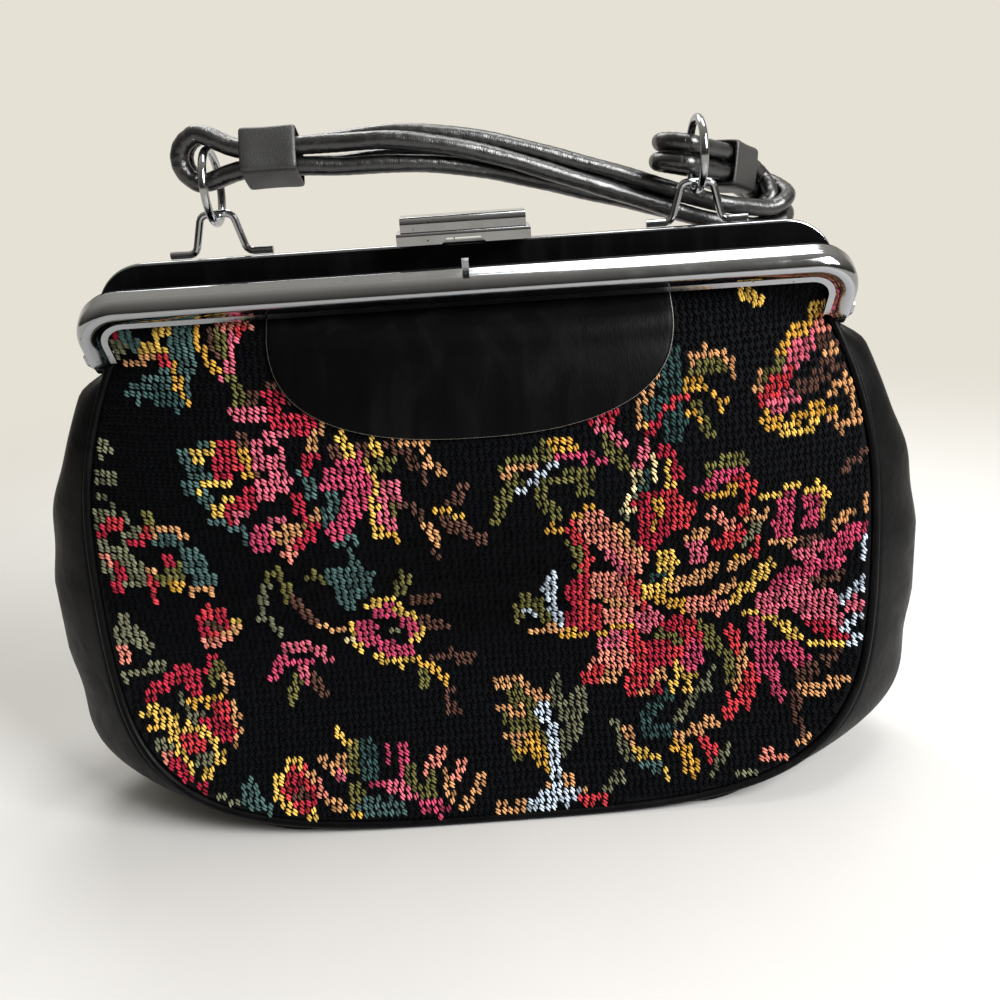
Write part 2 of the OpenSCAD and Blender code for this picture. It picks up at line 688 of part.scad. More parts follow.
clasp_seat_gap = 0.05;
clasp_ear_x = 0.37 * clasp_length;
clasp_ear_w = 1.6;
module clasp_base() {
    plate_z = rail_top + clasp_seat_gap;
    plate_length = 0.84 * clasp_length;
    color(chrome) difference() {
        union() {
            translate([-plate_length / 2, rail_inner, plate_z])
                cube([plate_length, clasp_pin_y + ear_r - rail_inner, clasp_plate]);
            for (x = [-clasp_ear_x - clasp_ear_w, clasp_ear_x]) translate([x, clasp_pin_y, 0]) {
                translate([0, 0, clasp_pin_z]) rotate([0, 90, 0]) cylinder(r = ear_r, h = clasp_ear_w);
                translate([0, -ear_r, plate_z]) cube([clasp_ear_w, 2 * ear_r, clasp_pin_z - plate_z]);
            }
        }
        translate([-clasp_length / 2, clasp_pin_y, clasp_pin_z]) rotate([0, 90, 0])
            cylinder(d = clasp_pin_d + 2 * clasp_pin_play, h = clasp_length);
    }
}

module clasp_pin() {
    length = 2 * (clasp_ear_x + clasp_ear_w) + 1;
    color(chrome) translate([-length / 2, clasp_pin_y, clasp_pin_z])
        rotate([0, 90, 0]) cylinder(d = clasp_pin_d, h = length);
}

// Torsion spring wound round the pin, with one tail on the seat and one forwards in the bar
spring_wire = 0.6;
spring_play = 0.3;
spring_length = 8;
spring_turns = 5.25;
spring_step = 45;
module clasp_spring() {
    wind_r = clasp_pin_d / 2 + spring_play + spring_wire / 2;
    half = (spring_length - spring_wire) / 2;
    seat_z = rail_top + clasp_seat_gap + clasp_plate + 0.1 - clasp_pin_z;
    reach = clasp_pin_y + 2;
    sweep = 360 * spring_turns;
    path = concat(
        [[-half, wind_r, seat_z]],
        [for (a = [0:spring_step:sweep]) [half * (2 * a / sweep - 1), wind_r * cos(a), wind_r * sin(a)]],
        [[half, -reach / 2, wind_r], [half, -reach, wind_r]]);
    color(chrome) translate([0, clasp_pin_y, clasp_pin_z])
        tube(path, [for (p = path) [1, 0, 0]], spring_wire / 2, 6, false);
}

// Staples and rings

staple_seat = 0.15;
staple_axis_z = rail_top + staple_seat + staple_height - staple_wire / 2;
staple_foot_z = rail_top + staple_seat + staple_wire / 2;
module staple(x) {
    bend_x = staple_bend * sin(staple_slope);
    bend_z = staple_bend * (1 - cos(staple_slope));
    leg = (staple_axis_z - staple_foot_z - 2 * bend_z) / sin(staple_slope);
    knee_x = staple_top / 2 + 2 * bend_x + leg * cos(staple_slope);
    turns = [for (k = [0:3]) k * staple_slope / 3];
    half = concat(
        [for (a = turns) [staple_top / 2 + staple_bend * sin(a), 0, staple_axis_z - staple_bend * (1 - cos(a))]],
        [for (i = [3:-1:0]) [knee_x - staple_bend * sin(turns[i]), 0,
                             staple_foot_z + staple_bend * (1 - cos(turns[i]))]],
        [[staple_span / 2, 0, staple_foot_z]]);
    n = len(half);
    path = concat([for (i = [n - 1:-1:0]) [-half[i][0], 0, half[i][2]]], half);
    color(chrome) translate([x, rail_mid, 0]) tube(path, [for (p = path) [0, 1, 0]], staple_wire / 2, 12, false);
}
module left_staple() staple(left_staple_x);
module right_staple() staple(right_staple_x);

ring_r = (ring_inner + ring_wire) / 2;
ring_z = staple_axis_z - (staple_wire + ring_wire) / 2 - ring_play + ring_r;
module ring(x) {
    color(chrome) translate([x, rail_mid, ring_z]) rotate([0, 90, 0])
        rotate_extrude() translate([ring_r, 0]) circle(d = ring_wire);
}
module left_ring() ring(left_staple_x);
module right_ring() ring(right_staple_x);

// Handle: two closed loops of cord side by side, four strands in a bundle that rolls a quarter turn

strand = (cord_d + strand_gap) / 2;
loop_top = ring_z + ring_r + ring_wire / 2 + loop_play + cord_d / 2;
loop_half = loop_height / 2;
left_loop = [left_staple_x - 1, rail_mid, loop_top - loop_half];
left_keeper_in = [left_staple_x + 13, rail_mid, ring_z + 8.7];
left_keeper_out = left_keeper_in + [keeper_length, 0, 0];
right_loop = [right_staple_x - 4, rail_mid + ring_r - 2.3, ring_z];
keeper_turn = 52;
keeper_fall = 13;
keeper_dir = [cos(keeper_turn) * cos(keeper_fall), sin(keeper_turn) * cos(keeper_fall), -sin(keeper_fall)];
right_keeper_in = right_loop + [15.5, 8.5, -4];
right_keeper_out = right_keeper_in + keeper_length * keeper_dir;
keeper_mouth = 3;

// Route of the bundle from the left loops to the right loops: [place, half spread, roll]
free_route = [
    [[-42, 7, 33.5], strand + 0.6, 8],
    [[-24, 8, 34], strand + 0.8, 20],
    [[-6, 10, 32.5], strand + 0.5, 33],
    [[12, 13, 29], strand + 0.3, 45],
    [[30, 16, 24], strand, 56],
    [[48, 19, 18.5], strand, 67],
    [[66, 22, 13], strand, 78],
    [[84, 24, 7], strand, 86],
    [[97, 22.5, 3], strand, 90],
    [[108, 26, 0.5], strand, 90],
    [[118.5, 30.5, -1], strand, 90],
    [[124, 33, 0.5], strand, 90],
    [[126.5, 38, 3.5], strand, 90],
    [[124, 43.5, 7], strand, 90],
    [[118.5, 45.5, 11], strand, 90]
];
route = concat(
    [[left_loop, loop_half, 0]],
    [[left_keeper_in, strand, 0]],
    [[left_keeper_out, strand, 0]],
    [for (p = free_route) [p[0] + [0, 0, rail_top], p[1], p[2]]],
    [[right_keeper_out + keeper_mouth * keeper_dir, strand, 90]],
    [[right_keeper_out, strand, 90]],
    [[right_keeper_in, strand, 90]],
    [[right_keeper_in - keeper_mouth * keeper_dir, strand + 0.4, 90]],
    [[right_loop, loop_half, 90]]);
route_end = len(route) - 1;
function heading(i) = unit(route[min(route_end, i + 1)][0] - route[max(0, i - 1)][0]);
function across(i) = unit(cross(heading(i), [0, 0, 1]));
function upward(i) = cross(across(i), heading(i));
function spread_axis(i) = cos(route[i][2]) * upward(i) + sin(route[i][2]) * across(i);
function cord_axis(i) = cross(spread_axis(i), heading(i));
loop_turns = [30, 60, 90, 120, 150];

// One closed cord: out along one strand, round the right loop, back along the other, round the left loop
function cord_point(i, swing, offset) = route[i][0] + offset * cord_axis(i)
    + route[i][1] * (cos(swing) * spread_axis(i) + sin(swing) * heading(i) * (i == 0 ? -1 : 1));
module handle_cord(offset) {
    order = concat(
        [for (i = [0:route_end]) [i, 0]],
        [for (a = loop_turns) [route_end, a]],
        [for (i = [route_end:-1:0]) [i, 180]],
        [for (a = loop_turns) [0, 180 - a]]);
    color(vinyl) tube([for (o = order) cord_point(o[0], o[1], offset)],
        [for (o = order) cord_axis(o[0])], cord_d / 2, 10, true);
}
module handle_cord_front() handle_cord(-strand);
module handle_cord_rear() handle_cord(strand);

// Keeper: a square sleeve along X round the four strands
module keeper() {
    inner = 2 * (strand + cord_d / 2 + keeper_play);
    outer = inner + 2 * keeper_wall;
    rotate([0, 90, 0]) difference() {
        rounded_plate(outer, outer, keeper_round, keeper_length);
        translate([0, 0, -over])
            rounded_plate(inner, inner, keeper_round - keeper_wall + 0.2, keeper_length + 2 * over);
    }
}
module left_keeper() color(vinyl) translate(left_keeper_in) keeper();
module right_keeper() color(vinyl) translate(right_keeper_in) rotate([0, keeper_fall, keeper_turn]) keeper();

front_panel();
rear_panel();
left_gusset();
right_gusset();
base_panel();
base_board();
front_piping();
rear_piping();
front_apron();
lining();
front_rail();
rear_rail();
front_facing();
rear_facing();
left_rivet();
right_rivet();
catch_nib();
clasp_base();
clasp_cover();
clasp_pin();
clasp_spring();
left_staple();
right_staple();
left_ring();
right_ring();
handle_cord_front();
handle_cord_rear();
left_keeper();
right_keeper();
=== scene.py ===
"""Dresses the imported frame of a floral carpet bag: needlework, vinyl, cords and worn chrome."""
import logging
import math
from dataclasses import dataclass, field
from enum import Enum

import bmesh
import bpy
import numpy as np
from mathutils import Matrix, Vector


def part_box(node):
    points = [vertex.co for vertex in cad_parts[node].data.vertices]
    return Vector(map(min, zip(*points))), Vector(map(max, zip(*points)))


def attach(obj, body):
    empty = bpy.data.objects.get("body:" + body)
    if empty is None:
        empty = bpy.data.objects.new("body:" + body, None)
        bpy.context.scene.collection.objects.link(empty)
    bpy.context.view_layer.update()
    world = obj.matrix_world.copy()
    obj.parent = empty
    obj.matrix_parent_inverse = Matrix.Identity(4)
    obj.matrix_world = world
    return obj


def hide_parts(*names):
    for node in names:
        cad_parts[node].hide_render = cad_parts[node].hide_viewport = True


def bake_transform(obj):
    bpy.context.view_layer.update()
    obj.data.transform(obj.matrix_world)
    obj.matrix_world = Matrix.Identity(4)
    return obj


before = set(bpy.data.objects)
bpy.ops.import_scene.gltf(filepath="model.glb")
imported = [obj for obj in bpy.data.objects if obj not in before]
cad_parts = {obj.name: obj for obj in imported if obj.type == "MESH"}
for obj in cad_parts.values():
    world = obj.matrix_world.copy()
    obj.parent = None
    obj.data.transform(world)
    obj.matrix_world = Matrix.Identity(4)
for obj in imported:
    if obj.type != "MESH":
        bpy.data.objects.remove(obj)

LOG = logging.getLogger("carpet_bag")
MM = 0.001
UP = np.array((0.0, 0.0, 1.0))
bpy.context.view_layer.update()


class Slot(Enum):
    """The record's material slots."""

    NEEDLEWORK = "needlework"
    VINYL = "vinyl"
    CORD_VINYL = "cord_vinyl"
    BOARD = "board"
    LINING = "lining_cloth"
    CHROME = "chrome"
    STEEL = "steel"


class Thread(Enum):
    """Wool colours of the needlework, as sRGB hex values."""

    GROUND = "#040508"
    CRIMSON = "#AE2C40"
    RED = "#C93F47"
    ROSE = "#CF667A"
    MAGENTA = "#BF4868"
    SALMON = "#DB8876"
    TAN = "#CC9868"
    GOLD = "#CFA044"
    YELLOW = "#DEB95A"
    CREAM = "#E2CF9C"
    OLIVE = "#6B683C"
    SAGE = "#70715A"
    TEAL = "#344E4C"
    SLATE = "#4A6462"
    ICE = "#C4D2E0"
    BROWN = "#5E4238"


def linear(colour: str) -> tuple[float, float, float, float]:
    """Turns an sRGB hex colour into a linear one.

    Args:
        colour: Seven characters, such as "#A0B0C0".

    Returns:
        Linear red, green, blue and an alpha of one.
    """
    parts = [int(colour[i:i + 2], 16) / 255.0 for i in (1, 3, 5)]
    red, green, blue = [p / 12.92 if p <= 0.04045 else ((p + 0.055) / 1.055) ** 2.4 for p in parts]
    return (red, green, blue, 1.0)


def per_mm(size: float) -> float:
    """Gives the texture scale, in repeats per metre, of a pattern of this size in mm."""
    return 1.0 / (size * MM)


def add_node(tree: bpy.types.NodeTree, kind: str, inputs: dict | None = None, **settings) -> bpy.types.Node:
    """Adds a node with its settings and links.

    Args:
        tree: The tree that takes the node.
        kind: The node's type name.
        inputs: Socket name or index to a value, or to the socket that feeds it.
        **settings: Properties of the node.

    Returns:
        The new node.
    """
    node = tree.nodes.new(kind)
    for name, value in settings.items():
        setattr(node, name, value)
    for key, value in (inputs or {}).items():
        if isinstance(value, bpy.types.NodeSocket):
            tree.links.new(value, node.inputs[key])
        else:
            node.inputs[key].default_value = value
    return node


def smooth_through(stations: tuple, at: np.ndarray) -> np.ndarray:
    """Runs a smooth curve through stations of (place, value).

    Args:
        stations: Pairs in rising order of place.
        at: Places to read.

    Returns:
        The values there, held at the ends.
    """
    place = np.array([s[0] for s in stations], dtype=float)
    value = np.array([s[1] for s in stations], dtype=float)
    slope = np.gradient(value, place)
    at = np.clip(at, place[0], place[-1])
    k = np.clip(np.searchsorted(place, at, side="right") - 1, 0, len(place) - 2)
    span = place[k + 1] - place[k]
    t = (at - place[k]) / span
    rise = value[k] * (1 + 2 * t) * (1 - t) ** 2 + value[k + 1] * t * t * (3 - 2 * t)
    return rise + span * (slope[k] * t * (1 - t) ** 2 - slope[k + 1] * t * t * (1 - t))


def grid_normals(grid: np.ndarray) -> np.ndarray:
    """Gives unit normals of a grid of points, along rows cross columns."""
    normal = np.cross(np.gradient(grid, axis=1), np.gradient(grid, axis=0))
    return normal / np.maximum(np.linalg.norm(normal, axis=2, keepdims=True), 1e-9)


def make_object(name: str, points: np.ndarray, faces: list, materials: list,
                rim: int = 0) -> bpy.types.Object:
    """Makes a smooth closed mesh object at the origin.

    Args:
        name: The piece's name.
        points: Points in mm.
        faces: Tuples of point numbers.
        materials: One material, or two where the last faces are a cut edge.
        rim: How many of the last faces take the second material.

    Returns:
        The linked object.
    """
    mesh = bpy.data.meshes.new(name)
    mesh.from_pydata((np.asarray(points) * MM).tolist(), [], faces)
    for material in materials:
        mesh.materials.append(material)
    index = np.zeros(len(mesh.polygons), dtype=np.int32)
    if rim:
        index[-rim:] = 1
    mesh.polygons.foreach_set("material_index", index)
    work = bmesh.new()
    work.from_mesh(mesh)
    bmesh.ops.recalc_face_normals(work, faces=work.faces)
    work.to_mesh(mesh)
    work.free()
    mesh.shade_smooth()
    piece = bpy.data.objects.new(name, mesh)
    bpy.context.collection.objects.link(piece)
    return piece


def strip_faces(rows: int, columns: int, ring: bool = False, loop: bool = False) -> list:
    """Lists the quads of a grid.

    Args:
        rows: Rows of points.
        columns: Points in a row.
        ring: Whether each row closes on itself.
        loop: Whether the last row meets the first.

    Returns:
        Tuples of four point numbers.
    """
    faces = []
    for r in range(rows if loop else rows - 1):
        above = (r + 1) % rows
        for c in range(columns if ring else columns - 1):
            d = (c + 1) % columns
            faces.append((r * columns + c, r * columns + d, above * columns + d, above * columns + c))
    return faces


def end_faces(rows: int, columns: int) -> list:
    """Lists the two faces that shut the ends of a ringed grid."""
    return [tuple(range(columns)), tuple(range((rows - 1) * columns, rows * columns))]


def slab(name: str, outer: np.ndarray, inner: np.ndarray, materials: list) -> bpy.types.Object:
    """Makes a closed sheet between two grids of points.

    Args:
        name: The piece's name.
        outer: Outer face, rows by columns by 3, in mm.
        inner: Inner face, laid out the same way.
        materials: The sheet's material, and one for its cut edge where that differs.

    Returns:
        The sheet.
    """
    rows, columns = outer.shape[:2]
    count = rows * columns
    face = strip_faces(rows, columns)
    faces = face + [tuple(count + i for i in reversed(f)) for f in face]
    edge = list(range(columns))
    edge += [r * columns + columns - 1 for r in range(1, rows)]
    edge += [(rows - 1) * columns + c for c in range(columns - 2, -1, -1)]
    edge += [r * columns for r in range(rows - 2, 0, -1)]
    rim = [(b, a, a + count, b + count) for a, b in zip(edge, edge[1:] + edge[:1])]
    points = np.vstack((outer.reshape(-1, 3), inner.reshape(-1, 3)))
    return make_object(name, points, faces + rim, materials, len(rim) if len(materials) > 1 else 0)


def tube(name: str, path: np.ndarray, radii: np.ndarray, sides: int, closed: bool,
         material: bpy.types.Material) -> bpy.types.Object:
    """Sweeps a round section along a path.

    Args:
        name: The piece's name.
        path: Points in mm.
        radii: Radius of each point of each section, points by sides, in mm.
        sides: Points round the section.
        closed: Whether the path meets itself.
        material: What it is made of.

    Returns:
        The tube.
    """
    count = len(path)
    ahead = np.roll(path, -1, axis=0) - np.roll(path, 1, axis=0)
    if not closed:
        ahead[0] = path[1] - path[0]
        ahead[-1] = path[-1] - path[-2]
    ahead /= np.linalg.norm(ahead, axis=1, keepdims=True)
    side = np.zeros_like(path)
    side[0] = np.cross(ahead[0], UP if abs(ahead[0][2]) < 0.9 else (1.0, 0.0, 0.0))
    for i in range(1, count):
        side[i] = side[i - 1] - ahead[i] * np.dot(side[i - 1], ahead[i])
        side[i] /= np.linalg.norm(side[i])
    side[0] /= np.linalg.norm(side[0])
    lift = np.cross(ahead, side)
    twist = 0.0
    if closed:
        last = side[-1] - ahead[0] * np.dot(side[-1], ahead[0])
        twist = math.atan2(np.dot(last, lift[0]), np.dot(last, side[0]))
    turn = np.linspace(0, math.tau, sides, endpoint=False)[None, :]
    turn = turn - np.linspace(0, twist, count)[:, None]
    ring = np.cos(turn)[..., None] * side[:, None] + np.sin(turn)[..., None] * lift[:, None]
    points = (path[:, None] + ring * radii[..., None]).reshape(-1, 3)
    faces = strip_faces(count, sides, ring=True, loop=closed)
    if not closed:
        faces += end_faces(count, sides)
    return make_object(name, points, faces, [material])


def curve_through(points: np.ndarray, steps: int, closed: bool) -> np.ndarray:
    """Runs a smooth curve through points.

    Args:
        points: Points in order.
        steps: New points in each gap.
        closed: Whether the curve meets itself.

    Returns:
        The finer points.
    """
    count = len(points)
    fine = []
    for i in range(count if closed else count - 1):
        near = [i - 1, i, i + 1, i + 2]
        p, q, r, s = [points[k % count] if closed else points[min(max(k, 0), count - 1)] for k in near]
        for t in np.arange(steps) / steps:
            fine.append(0.5 * (2 * q + (r - p) * t + (2 * p - 5 * q + 4 * r - s) * t ** 2
                               + (3 * q - p - 3 * r + s) * t ** 3))
    if not closed:
        fine.append(points[-1])
    return np.array(fine)


def settle(piece: bpy.types.Object, slot: Slot, body: str, *nodes: str) -> None:
    """Rides a finished piece on a body, hides the CAD nodes that it replaces and logs its faces.

    Args:
        piece: The piece.
        slot: The record's slot of its finish; not used.
        body: The CAD body that carries it.
        *nodes: CAD nodes that it replaces.
    """
    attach(piece, body)
    if nodes:
        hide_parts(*nodes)
    LOG.info("%s: %d faces on %s", piece.name, len(piece.data.polygons), body)


def hang(piece: bpy.types.Object, slot: Slot, start: tuple, end: tuple, *nodes: str) -> None:
    """Keeps a finished piece between the bag and the front frame half as it is, hides the CAD nodes that it
    replaces and logs it.

    Args:
        piece: The piece.
        slot: The record's slot of its finish; not used.
        start: Where a bend would begin, in mm; not used.
        end: Where it would end, in mm; not used.
        *nodes: CAD nodes that it replaces.
    """
    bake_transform(piece)
    if nodes:
        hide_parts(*nodes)
    LOG.info("%s: %d faces bend at the mouth", piece.name, len(piece.data.polygons))


@dataclass(frozen=True)
class Finish:
    """What every finish shares: a name and a principled shader."""

    name: str

    def start(self) -> tuple[bpy.types.Material, bpy.types.NodeTree, bpy.types.Node]:
        """Makes an empty material.

        Returns:
            The material, its tree and its shader.
        """
        material = bpy.data.materials.new(self.name)
        material.use_nodes = True
        return material, material.node_tree, material.node_tree.nodes["Principled BSDF"]


@dataclass(frozen=True)
class WoolYarn(Finish):
    """Dyed wool yarn, hooked in loops: dull, softly fuzzy, each loop a little lighter or darker."""

    name: str = "wool_yarn_hooked"
    fibre_mm: float = 0.45
    mottle_mm: float = 5.0

    def material(self) -> bpy.types.Material:
        """Makes the material, with its colour from the mesh's thread attribute.

        Returns:
            The material.
        """
        material, tree, shader = self.start()
        place = add_node(tree, "ShaderNodeTexCoord")
        thread = add_node(tree, "ShaderNodeAttribute", attribute_name="thread")
        fibre = add_node(tree, "ShaderNodeTexNoise", {"Vector": place.outputs["Object"], "Detail": 3.0,
                                                      "Scale": per_mm(self.fibre_mm)})
        mottle = add_node(tree, "ShaderNodeTexNoise", {"Vector": place.outputs["Object"], "Detail": 2.0,
                                                       "Scale": per_mm(self.mottle_mm)})
        shade = add_node(tree, "ShaderNodeMapRange", {"Value": mottle.outputs["Fac"], "From Min": 0.3,
                                                      "From Max": 0.7, "To Min": 0.82, "To Max": 1.12})
        colour = add_node(tree, "ShaderNodeVectorMath", {0: thread.outputs["Color"],
                                                         1: shade.outputs["Result"]}, operation="MULTIPLY")
        bump = add_node(tree, "ShaderNodeBump", {"Height": fibre.outputs["Fac"], "Strength": 0.55,
                                                 "Distance": 0.25 * MM})
        tree.links.new(colour.outputs["Vector"], shader.inputs["Base Color"])
        tree.links.new(bump.outputs["Normal"], shader.inputs["Normal"])
        shader.inputs["Roughness"].default_value = 0.6
        shader.inputs["Specular IOR Level"].default_value = 0.04
        shader.inputs["Sheen Weight"].default_value = 0.008
        shader.inputs["Sheen Roughness"].default_value = 0.4
        return material


@dataclass(frozen=True)
class CottonCloth(Finish):
    """Woven cotton: a dull plain weave that shows as fine crossed threads."""

    name: str = "cotton_cloth_woven"
    colour: str = "#07080B"
    thread_mm: float = 0.9

    def material(self) -> bpy.types.Material:
        """Makes the material; its threads are drawn coarser than real ones so that they show.

        Returns:
            The material.
        """
        material, tree, shader = self.start()
        place = add_node(tree, "ShaderNodeTexCoord")
        weave = {"Vector": place.outputs["Object"], "Scale": per_mm(self.thread_mm) / math.tau,
                 "Distortion": 1.2, "Detail": 1.0}
        weft = add_node(tree, "ShaderNodeTexWave", weave, bands_direction="Z")
        warp = add_node(tree, "ShaderNodeTexWave", weave, bands_direction="X")
        cross = add_node(tree, "ShaderNodeMath", {0: weft.outputs["Fac"], 1: warp.outputs["Fac"]},
                         operation="MAXIMUM")
        bump = add_node(tree, "ShaderNodeBump", {"Height": cross.outputs["Value"], "Strength": 0.4,
                                                 "Distance": 0.2 * MM})
        shade = add_node(tree, "ShaderNodeMix", {"Factor": cross.outputs["Value"], 6: linear("#050507"),
                                                 7: linear(self.colour)}, data_type="RGBA")
        tree.links.new(shade.outputs[2], shader.inputs["Base Color"])
        tree.links.new(bump.outputs["Normal"], shader.inputs["Normal"])
        shader.inputs["Roughness"].default_value = 0.85
        shader.inputs["Specular IOR Level"].default_value = 0.1
        return material


@dataclass(frozen=True)
class CalenderedVinyl(Finish):
    """PVC leathercloth, calendered and embossed: satin black, fine grain, creases, dust in the grain."""

    name: str = "vinyl_leathercloth_embossed"
    colour: str = "#050506"
    dust: str = "#0E0E10"
    grain_mm: float = 0.9
    crease_mm: float = 11.0
    stretch: tuple[float, float, float] = (1.0, 1.0, 1.0)
    gloss: tuple[float, float] = (0.36, 0.5)
    emboss: float = 0.16
    crease: float = 0.22
    rib_mm: float = 0.0
    shine: float = 0.08

    def material(self) -> bpy.types.Material:
        """Makes the material.

        Returns:
            The material.
        """
        material, tree, shader = self.start()
        place = add_node(tree, "ShaderNodeTexCoord")
        drawn = add_node(tree, "ShaderNodeMapping", {"Vector": place.outputs["Object"],
                                                     "Scale": self.stretch})
        grain = add_node(tree, "ShaderNodeTexVoronoi", {"Vector": drawn.outputs["Vector"],
                                                        "Scale": per_mm(self.grain_mm)})
        crease = add_node(tree, "ShaderNodeTexNoise", {"Vector": drawn.outputs["Vector"], "Detail": 4.0,
                                                       "Scale": per_mm(self.crease_mm), "Distortion": 0.6})
        rough = add_node(tree, "ShaderNodeMapRange", {"Value": crease.outputs["Fac"], "From Min": 0.3,
                                                      "From Max": 0.7, "To Min": self.gloss[0],
                                                      "To Max": self.gloss[1]})
        fine = add_node(tree, "ShaderNodeBump", {"Height": grain.outputs["Distance"],
                                                 "Strength": self.emboss, "Distance": 0.2 * MM})
        bump = add_node(tree, "ShaderNodeBump", {"Height": crease.outputs["Fac"], "Strength": self.crease,
                                                 "Distance": 2.0 * MM, "Normal": fine.outputs["Normal"]})
        if self.rib_mm:
            run = add_node(tree, "ShaderNodeAttribute", attribute_name="run")
            sway = add_node(tree, "ShaderNodeMath", {0: crease.outputs["Fac"], 1: 9.0,
                                                     2: run.outputs["Fac"]}, operation="MULTIPLY_ADD")
            rib = add_node(tree, "ShaderNodeMath", {0: sway.outputs["Value"]}, operation="SINE")
            bump = add_node(tree, "ShaderNodeBump", {"Height": rib.outputs["Value"], "Strength": 0.07,
                                                     "Distance": 0.12 * MM,
                                                     "Normal": bump.outputs["Normal"]})
        worn = add_node(tree, "ShaderNodeMapRange", {"Value": crease.outputs["Fac"], "From Min": 0.5,
                                                     "From Max": 0.78})
        shade = add_node(tree, "ShaderNodeMix", {"Factor": worn.outputs["Result"], 6: linear(self.colour),
                                                 7: linear(self.dust)}, data_type="RGBA")
        tree.links.new(shade.outputs[2], shader.inputs["Base Color"])
        tree.links.new(rough.outputs["Result"], shader.inputs["Roughness"])
        tree.links.new(bump.outputs["Normal"], shader.inputs["Normal"])
        shader.inputs["Specular IOR Level"].default_value = self.shine
        return material


@dataclass(frozen=True)
class Flecked(Finish):
    """A dull finish that is flecked with a darker tone."""

    colour: str
    fleck: str
    fleck_mm: float
    detail: float
    rough: float

    def material(self) -> bpy.types.Material:
        """Makes the material.

        Returns:
            The material.
        """
        material, tree, shader = self.start()
        place = add_node(tree, "ShaderNodeTexCoord")
        fleck = add_node(tree, "ShaderNodeTexNoise", {"Vector": place.outputs["Object"],
                                                      "Detail": self.detail,
                                                      "Scale": per_mm(self.fleck_mm)})
        shade = add_node(tree, "ShaderNodeMix", {"Factor": fleck.outputs["Fac"], 6: linear(self.fleck),
                                                 7: linear(self.colour)}, data_type="RGBA")
        tree.links.new(shade.outputs[2], shader.inputs["Base Color"])
        shader.inputs["Roughness"].default_value = self.rough
        return material


@dataclass(frozen=True)
class CutVinyl(Flecked):
    """Knife-cut edge of leathercloth: the pale cotton backing shows as a thin light line."""

    name: str = "vinyl_leathercloth_cut"
    colour: str = "#A7A39A"
    fleck: str = "#4A4844"
    fleck_mm: float = 0.7
    detail: float = 2.0
    rough: float = 0.8


@dataclass(frozen=True)
class WornChrome(Finish):
    """Chromium plate on steel, buffed, then worn: bright and cool, hazed by wiping, scratched and pitted."""

    name: str = "chromium_plate_worn"
    colour: str = "#A2A4A8"
    pit: str = "#4C4A46"
    haze_mm: float = 9.0
    scratch_mm: float = 0.5
    pit_mm: float = 3.2
    gloss: tuple[float, float] = (0.06, 0.17)

    def material(self) -> bpy.types.Material:
        """Makes the material; its scratches run along the frame.

        Returns:
            The material.
        """
        material, tree, shader = self.start()
        place = add_node(tree, "ShaderNodeTexCoord")
        haze = add_node(tree, "ShaderNodeTexNoise", {"Vector": place.outputs["Object"], "Detail": 5.0,
                                                     "Scale": per_mm(self.haze_mm)})
        drawn = add_node(tree, "ShaderNodeMapping", {"Vector": place.outputs["Object"],
                                                     "Scale": (0.06, 1.0, 1.0),
                                                     "Rotation": (0.0, 0.08, 0.0)})
        scratch = add_node(tree, "ShaderNodeTexNoise", {"Vector": drawn.outputs["Vector"], "Detail": 2.0,
                                                        "Scale": per_mm(self.scratch_mm)})
        cell = add_node(tree, "ShaderNodeTexVoronoi", {"Vector": place.outputs["Object"],
                                                       "Scale": per_mm(self.pit_mm)})
        spot = add_node(tree, "ShaderNodeMapRange", {"Value": cell.outputs["Distance"], "From Min": 0.07,
                                                     "From Max": 0.13, "To Min": 1.0, "To Max": 0.0})
        few = add_node(tree, "ShaderNodeMapRange", {"Value": haze.outputs["Fac"], "From Min": 0.52,
                                                    "From Max": 0.58})
        pits = add_node(tree, "ShaderNodeMath", {0: spot.outputs["Result"], 1: few.outputs["Result"]},
                        operation="MULTIPLY")
        rough = add_node(tree, "ShaderNodeMapRange", {"Value": haze.outputs["Fac"], "From Min": 0.35,
                                                      "From Max": 0.65, "To Min": self.gloss[0],
                                                      "To Max": self.gloss[1]})
        shade = add_node(tree, "ShaderNodeMix", {"Factor": pits.outputs["Value"], 6: linear(self.colour),
                                                 7: linear(self.pit)}, data_type="RGBA")
        bump = add_node(tree, "ShaderNodeBump", {"Height": scratch.outputs["Fac"], "Strength": 0.08,
                                                 "Distance": 0.1 * MM})
        tree.links.new(shade.outputs[2], shader.inputs["Base Color"])
        tree.links.new(rough.outputs["Result"], shader.inputs["Roughness"])
        tree.links.new(bump.outputs["Normal"], shader.inputs["Normal"])
        shader.inputs["Metallic"].default_value = 1.0
        return material


@dataclass(frozen=True)
class GreyBoard(Flecked):
    """Pressed grey board: dull, pulpy and flecked."""

    name: str = "grey_board_pressed"
    colour: str = "#6B665C"
    fleck: str = "#4B473F"
    fleck_mm: float = 1.5
    detail: float = 6.0
    rough: float = 0.9


@dataclass(frozen=True)
class Stroke:
    """One run of stitches in one wool.

    Attributes:
        thread: The wool.
        width: Width of the run in mm.
        points: Where it goes, as (x, z) on the front panel in mm.
    """

    thread: Thread
    width: float
    points: tuple


def runs(*rows: tuple) -> tuple[Stroke, ...]:
    """Names runs of stitches.

    Args:
        *rows: A wool, a width in mm, then x and z by turns.

    Returns:
        The runs in the same order.
    """
    return tuple(Stroke(row[0], row[1], tuple(zip(row[2::2], row[3::2]))) for row in rows)


T = Thread

